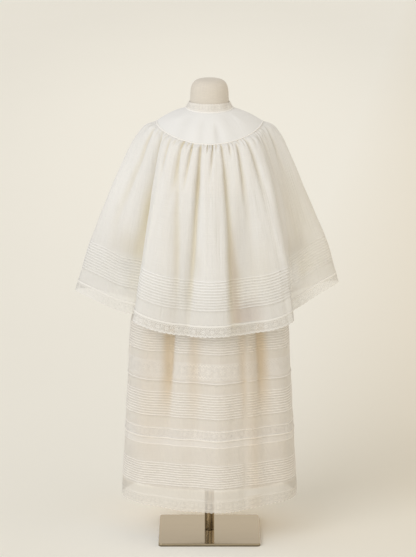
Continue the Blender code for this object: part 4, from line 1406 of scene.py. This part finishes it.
class GOWN_OT_skirt(PieceOperator, bpy.types.Operator):
    """Makes the skirt: tucked panels, lace insertions and the lace of the hem"""

    bl_idname = "gown.skirt"
    bl_label = "Skirt"

    def rows(self, name, low, high, lowest, pitch, sizes):
        """(above the hem, how far out, layers) for the rows of one piece."""
        if name in SKIRT_LACES:
            cords = SKIRT_LACES[name][-1]
            made = lace_rows(low, high, [(low + at, half, rise) for at, half, rise in cords])
            return made - (0, LACE_INSET, 0)
        tucks = tuck_rows(lowest, pitch, SKIRT_TUCKS, sizes.tuck_depth, sizes.tuck_rise)
        if name in PANEL_CORDS:
            down, half, rise = PANEL_CORDS[name]
            tucks += cord_rows([(high - down, half, rise)])
        return between(tucks, low, high, SKIRT_STEP)

    def shades(self, points, angle, above, lawn):
        """How much warm and grey painted shade the skirt's cloth gets: warm in its hollows higher up and in
        two folds, both on its shaded side and on its hem, and grey low down. Its hem is unlined, because
        no slip lies behind it.
        """
        deep = hollows(points, SKIRT_HOLLOWS, True)
        deep = np.minimum(1.7 * deep * soft_step(above, 0.12, 0.30), 1.0)
        unlined = (1 - soft_step(above, *LINED_FROM)) * lawn
        # Warm painted shade in the folds at 42 and -56 degrees.
        shaded = 0.38 * bump(angle, 42, 6.5) + 0.20 * bump(angle, -56, 8) * soft_step(above, 0.08, 0.16)
        flank = soft_step(angle, *FLANK_START) * (1 - soft_step(angle, *FLANK_END))
        flank = flank * (1 - soft_step(above, 0.13, 0.19))
        low_down = 0.12 * (1 - soft_step(above, 0.115, 0.135)) * (1 - flank)
        deep = np.minimum(np.maximum(deep, 0.55 * unlined) + shaded + 0.08 * flank, 1.0)
        return deep, np.minimum(unlined + 0.08 * flank + low_down, 1)

    def execute(self, context):
        sizes, colours = context.scene.gown_sizes, context.scene.gown_colours
        for name, low, high, *tucks in SKIRT_PIECES:
            laced, hem = name in SKIRT_LACES, name == "skirt_hem_lace"
            rows = self.rows(name, low, high, *tucks, sizes)
            above, rise, layers = rows[:, :1], rows[:, 1:2], rows[:, 2:]
            angle = np.linspace(-180, 180, (HEM_COLUMNS if hem else SKIRT_COLUMNS) + 1)
            across = run_along(skirt_form(angle, np.array([[low]])))
            if hem:
                across = across * scallop_fit(across[0, -1], sizes.scallop_width)
                above = scalloped(across, above, sizes)
            held = (HEM_CORD_SHOWS if hem else 1.0) if laced else tuck_strength(angle, above)
            points = skirt_form(angle, above)
            out = rise * held + crumple(across, above, sizes.crease_height, 3)
            points = points + outward(points, True) * seamless(out)[..., None]
            deep, thin = self.shades(points, angle, above, not laced)
            layers = layers * held
            if name in FAINT_FLOWERS:
                centre, width, faint = FAINT_FLOWERS[name]
                seen = np.minimum(bump(angle, centre, width) + bump(angle, centre + 180, width), 1)
                layers = np.where(layers > 0.05, layers, -faint * (1 - seen))
            data = cloth_grid(f"{name}_cloth", points, across, above - low, layers, True, deep, thin)
            if laced:
                dye, middle, repeat, net, lined, patchy, _ = SKIRT_LACES[name]
                repeat = fitted(across[0, -1], repeat)
                finish_of = lace_finish(
                    name.replace("_", " "), dye, repeat, middle, net, lined, patchy, SKIRT_SHADE
                )
            else:
                finish_of = cotton(
                    "skirt lawn", "skirt_lawn", colours.skirt_cover, shade=SKIRT_SHADE, streak=0.0003
                )
            show(f"{name}_cloth", data, finish_of, [name])
        return {"FINISHED"}


class GOWN_OT_yoke(PieceOperator, bpy.types.Operator):
    """Makes the yoke with its piped seams, and the lace collar"""

    bl_idname = "gown.yoke"
    bl_label = "Yoke and Collar"

    def yoke(self):
        angle = clear_of_front(open_angles(240), YOKE_HALF_DEPTH, FRONT_GAP_TOP)
        along = np.linspace(1.0, 0.0, 36)[:, None]
        points = yoke_form(angle, along)
        above, across = run_up(points), run_along(points[:1])
        up = 1 - along * 0.8
        dents = small_folds(angle, up, count=34, height=YOKE_DENT, seed=41, narrow=4.0, wide=11.0)
        held = np.sin(pi * along) ** 0.5
        wrinkles = sum(
            depth * bump(angle, at, width) * soft_step(along, top, top + 0.4)
            for at, width, depth, top in YOKE_WRINKLES
        )
        points = points + outward(points, False) * (dents * held - wrinkles * held)[..., None]
        # Grey painted shade in the wrinkles.
        thin = np.clip(wrinkles / FULL_WRINKLE, 0, 1)
        data = cloth_grid("yoke_cloth", points, across, above, thin=thin)
        finish_of = cotton("yoke lawn", "yoke_lawn", crease=0.00022, streak=0.00015)
        return show("yoke_cloth", data, finish_of, ["yoke"])

    def piping(self, name, seam, lift, thickness):
        path = seam(clear_of_front(open_angles(288), YOKE_HALF_DEPTH, FRONT_GAP_TOP)) + (0, 0, lift)
        finish_of = cotton("piping cotton", "lace", crease=0.0)
        return show(name, tube(name, path, thickness), finish_of)

    def collar(self):
        angle = clear_of_front(open_angles(480), NECK_HALF_DEPTH, FRONT_GAP_TOP)
        seam = neck_seam(angle)
        across = run_along(seam[None])
        up = np.linspace(0, 1, 16)[:, None]
        wave = np.abs(np.cos(pi * across / COLLAR_SCALLOP))
        up = up * (1 - 0.10 * (1 - wave**SCALLOP_CURVE) * up**2)
        foot = on_axis(angle, oval_radius(angle, NECK_HALF_WIDTH, NECK_HALF_DEPTH), seam[:, 2] + SEAM_GAP)
        top = on_axis(angle, oval_radius(angle, COLLAR_HALF_WIDTH, COLLAR_HALF_DEPTH), COLLAR_TOP)
        points = foot + (top - foot) * up[..., None]
        ripple = COLLAR_RIPPLE * np.sin(across * 240) * up * (1 - up) * 4
        points = points + outward(points, False) * ripple[..., None]
        layers = np.where(up < 0.06, 1.0, 0.0)
        data = cloth_grid("collar_lace", points, across, up * COLLAR_HEIGHT, layers)
        finish_of = lace_finish(
            "collar lace", "collar_thread", *COLLAR_FLOWERS, net=0.30, lined=0.80, patchy=0.3
        )
        return show("collar_lace", data, finish_of, ["lace_collar"])

    def execute(self, context):
        thickness = context.scene.gown_sizes.piping
        yoke = self.yoke()
        edges = [
            self.piping("neck_piping", neck_seam, 0.0004, thickness),
            self.piping("yoke_piping", yoke_seam, 0.0005, thickness),
        ]
        collar = self.collar()
        return {"FINISHED"}


class GOWN_OT_cape(PieceOperator, bpy.types.Operator):
    """Makes the gathered cape with its pin tucks, and the lace of its edge"""

    bl_idname = "gown.cape"
    bl_label = "Cape"

    def shades(self, points, angle, along):
        """How much painted shade the cape's cloth gets: warm by its own hollows, and grey by how thin
        it is and by what lies behind it.
        """
        far, right = np.abs(angle), angle > 0
        deep = hollows(points, CAPE_HOLLOWS, False)
        # The painted shade is stronger on the -X side and weaker on the +X side.
        deep = deep * (1 - 0.45 * np.sin(np.radians(angle)))
        # Near the yoke seam the painted shade is stronger at the back and weaker at the sides.
        by_yoke = 1 - soft_step(along, 0.02, 0.09)
        deep = deep * (1 + (0.5 - 1.0 * soft_step(far, 35, 60)) * by_yoke)
        # Grey painted shade on the -X wing and towards the edge; warm painted shade on the +X wing.
        wing = soft_step(far, *WING_START) * (1 - soft_step(far, *WING_END))
        thin = np.where(angle < 0, 0.36, 0.0) * wing * soft_step(along, 0.35, 0.70)
        by_edge = 0.60 + 0.30 * soft_step(angle, 20, 55)
        thin = thin + by_edge * soft_step(along, 0.60, 0.90) * (1 - np.where(right, 1.0, 0.35) * wing)
        # Less warm painted shade where the +X wing is turned back.
        turned_back = 1 - 0.95 * bump(angle, 76, 7) * soft_step(along, 0.82, 0.87)
        deep = deep + 0.30 * np.where(right, wing, 0) * soft_step(along, 0.05, 0.50) * turned_back
        # Painted shade at the listed places: grey by how dark, warm by how warm.
        for centre, width, place, tall, dark, warm in DIM_PLACES:
            near = bump(angle, centre, width) * np.exp(-(((along - place) / tall) ** 2))
            thin, deep = thin + dark * near, deep + warm * near
        return np.clip(deep, 0, 1), np.clip(thin, 0, 1)

    def grid(self, sizes, rows, columns, edged=False):
        """One piece of the cape: its points, its layout, its extra layers, and its hollows and thin places
        for painted shade. Where a deep fold lies behind it, its layers are less than none, which paints the
        fold's shadow on it."""
        angle = open_angles(columns)
        above, rise, layers = rows[:, :1], rows[:, 1:2], rows[:, 2:]
        edge_radius = curve(CAPE_EDGE, angle, 1)
        across = run_along(on_axis(angle, edge_radius, curve(CAPE_EDGE, angle, 2))[None])
        if edged:
            across = across * scallop_fit(across[0, -1], sizes.scallop_width)
            above = scalloped(across, above, sizes)
        along = 1 - above / CAPE_LENGTH
        start = np.hypot(*yoke_seam(angle)[..., :2].T)
        radius = start + (edge_radius - start) * curve(CAPE_PROFILE, along, 1)
        gap = FRONT_GAP_TOP + (FRONT_GAP_HEM - FRONT_GAP_TOP) * along
        points = cape_form(clear_of_front(angle, radius, gap), along, sizes.gather_depth)
        if not edged:
            on_wing = 0.6 * soft_step(angle, *PRESSED_START) * (1 - soft_step(angle, *PRESSED_END))
            pressed = (1 - on_wing) * (1 - 0.7 * bump(angle, 19.5, 3.5))
            rise, layers = rise * pressed, layers * pressed
        out = rise + crumple(across, above, sizes.crease_height, 17) * soft_step(along, 0.0, 0.06)
        points = points + outward(points, False) * out[..., None]
        from_front = np.minimum(across, across[0, -1] - across)
        hemmed = np.clip((FRONT_TURNING - from_front) / CORD_STEP, 0, 1)
        # The painted shadow of deep folds behind the cape, taken off its layers.
        fold_shadow = sum(
            strength * bump(angle, centre, width) * soft_step(along, begins, full)
            for centre, width, begins, full, strength in FOLD_SHADOW_PLACES
        )
        layers = np.maximum(layers, hemmed) - np.minimum(fold_shadow, 1) * (0.4 if edged else 1.0)
        return points, across, above, layers, *self.shades(points, angle, along)

    def execute(self, context):
        sizes, colours = context.scene.gown_sizes, context.scene.gown_colours
        depth = sizes.tuck_depth + CAPE_TUCK_EXTRA
        tucks = tuck_rows(CAPE_TUCK_LOWEST, CAPE_TUCK_PITCH, CAPE_TUCKS, depth, sizes.tuck_rise)
        below = between(tucks, CAPE_LACE, CAPE_LENGTH * CAPE_TUCKED_SHARE, CAPE_STEP)
        upper = between([], below[-1, 0], CAPE_LENGTH * CAPE_TOP_SHARE, CAPE_UPPER_STEP)[1:]
        rows = np.concatenate((below, upper))
        points, across, above, layers, deep, thin = self.grid(sizes, rows, CAPE_COLUMNS)
        data = cloth_grid("cape_cloth", points, across, above, layers, False, deep, thin)
        finish_of = cotton("cape lawn", "lawn", colours.cape_cover)
        cape = show("cape_cloth", data, finish_of, ["cape"])

        rows = lace_rows(0.0, CAPE_LACE + CAPE_LACE_LAP, CAPE_CORDS, CAPE_LACE_STEP)
        points, across, above, layers, deep, thin = self.grid(sizes, rows, CAPE_LACE_COLUMNS, True)
        points = points + outward(points, False) * CAPE_LACE_OUT
        data = cloth_grid("cape_lace", points, across, above, layers, False, deep, thin)
        repeat, middle = CAPE_FLOWERS
        repeat = fitted(across[0, -1], repeat)
        finish_of = lace_finish("cape lace", "lace", repeat, middle, colours.net_cover)
        lace = show("cape_lace", data, finish_of, ["cape_lace_edging"])
        return {"FINISHED"}


class GOWN_OT_studio(PieceOperator, bpy.types.Operator):
    """Lays the studio floor and sets the lights and the camera"""

    bl_idname = "gown.studio"
    bl_label = "Studio"

    def aimed(self, name, data, place, aim):
        """Puts a light or the camera in the scene, looking at its aim."""
        made = bpy.data.objects.new(name, data)
        made.location = place
        made.rotation_euler = (Vector(aim) - Vector(place)).to_track_quat("-Z", "Y").to_euler()
        bpy.context.scene.collection.objects.link(made)
        return made

    def light(self, name, place, spread, power, tint):
        """A broad, even light from far away. Its spread in degrees is how soft its shadows are."""
        lamp = bpy.data.lights.new(name, "SUN")
        lamp.angle, lamp.energy, lamp.color = radians(spread), power, tint
        self.aimed(name, lamp, place, LIGHTS_AIM)

    def air(self):
        """The soft light of the room: warmer on the right, and cooler from above."""
        world = bpy.data.worlds.new("studio air")
        world.use_nodes = True
        nodes = Nodes(world.node_tree)
        toward = nodes.axes(nodes.add("ShaderNodeTexCoord").outputs["Generated"])
        rising = nodes.ranged(toward["Z"], 0.0, 0.9)
        right = nodes.ranged(toward["X"], -0.8, 0.8)
        low = nodes.mix(right, (0.68, 0.66, 0.63), (1.02, 0.91, 0.75))
        air = world.node_tree.nodes["Background"]
        nodes.put(air.inputs["Color"], nodes.mix(rising, low, (0.613, 0.595, 0.56)))
        return world

    def execute(self, context):
        mesh = bmesh.new()
        bmesh.ops.create_circle(mesh, cap_ends=True, segments=96, radius=FLOOR_RADIUS)
        data = mesh_data("studio_floor", mesh)
        data.materials.append(studio_paper())
        floor = bpy.data.objects.new("studio_floor", data)
        context.scene.collection.objects.link(floor)

        context.scene.world = self.air()
        self.light("window_light", (-1.9, -2.6, 1.9), 45.0, 1.45, (0.98, 0.995, 1.03))
        self.light("room_light", (2.6, -1.6, 1.3), 60.0, 0.25, (1.0, 0.96, 0.91))

        lens = bpy.data.cameras.new("camera")
        lens.lens, lens.sensor_width, lens.clip_end = 182.35, 36.0, 100.0
        context.scene.camera = self.aimed("camera", lens, CAMERA_PLACE, CAMERA_AIM)
        context.scene.view_settings.view_transform = "Standard"
        return {"FINISHED"}


class GOWN_PT_panel(bpy.types.Panel):
    """Lists the gown's pieces, sizes and colours"""

    bl_idname = "GOWN_PT_panel"
    bl_label = "Christening Gown"
    bl_space_type = "VIEW_3D"
    bl_region_type = "UI"
    bl_category = "Gown"

    def draw(self, context):
        for kept in (context.scene.gown_sizes, context.scene.gown_colours):
            box = self.layout.box()
            for key in kept.__annotations__:
                box.prop(kept, key)
        for piece in PIECES:
            self.layout.operator(piece.bl_idname)


PIECES = (
    GOWN_OT_studio,
    GOWN_OT_stand,
    GOWN_OT_dress_form,
    GOWN_OT_slip,
    GOWN_OT_bodice,
    GOWN_OT_sleeves,
    GOWN_OT_skirt,
    GOWN_OT_yoke,
    GOWN_OT_cape,
)
CLASSES = (GownSizes, GownColours) + PIECES + (GOWN_PT_panel,)


def register():
    for kind in CLASSES:
        bpy.utils.register_class(kind)
    bpy.types.Scene.gown_sizes = bpy.props.PointerProperty(type=GownSizes)
    bpy.types.Scene.gown_colours = bpy.props.PointerProperty(type=GownColours)


def unregister():
    del bpy.types.Scene.gown_sizes, bpy.types.Scene.gown_colours
    for kind in reversed(CLASSES):
        bpy.utils.unregister_class(kind)


def main():
    register()
    for piece in PIECES:
        group, name = piece.bl_idname.split(".")
        getattr(getattr(bpy.ops, group), name)()


if __name__ == "__main__":
    main()
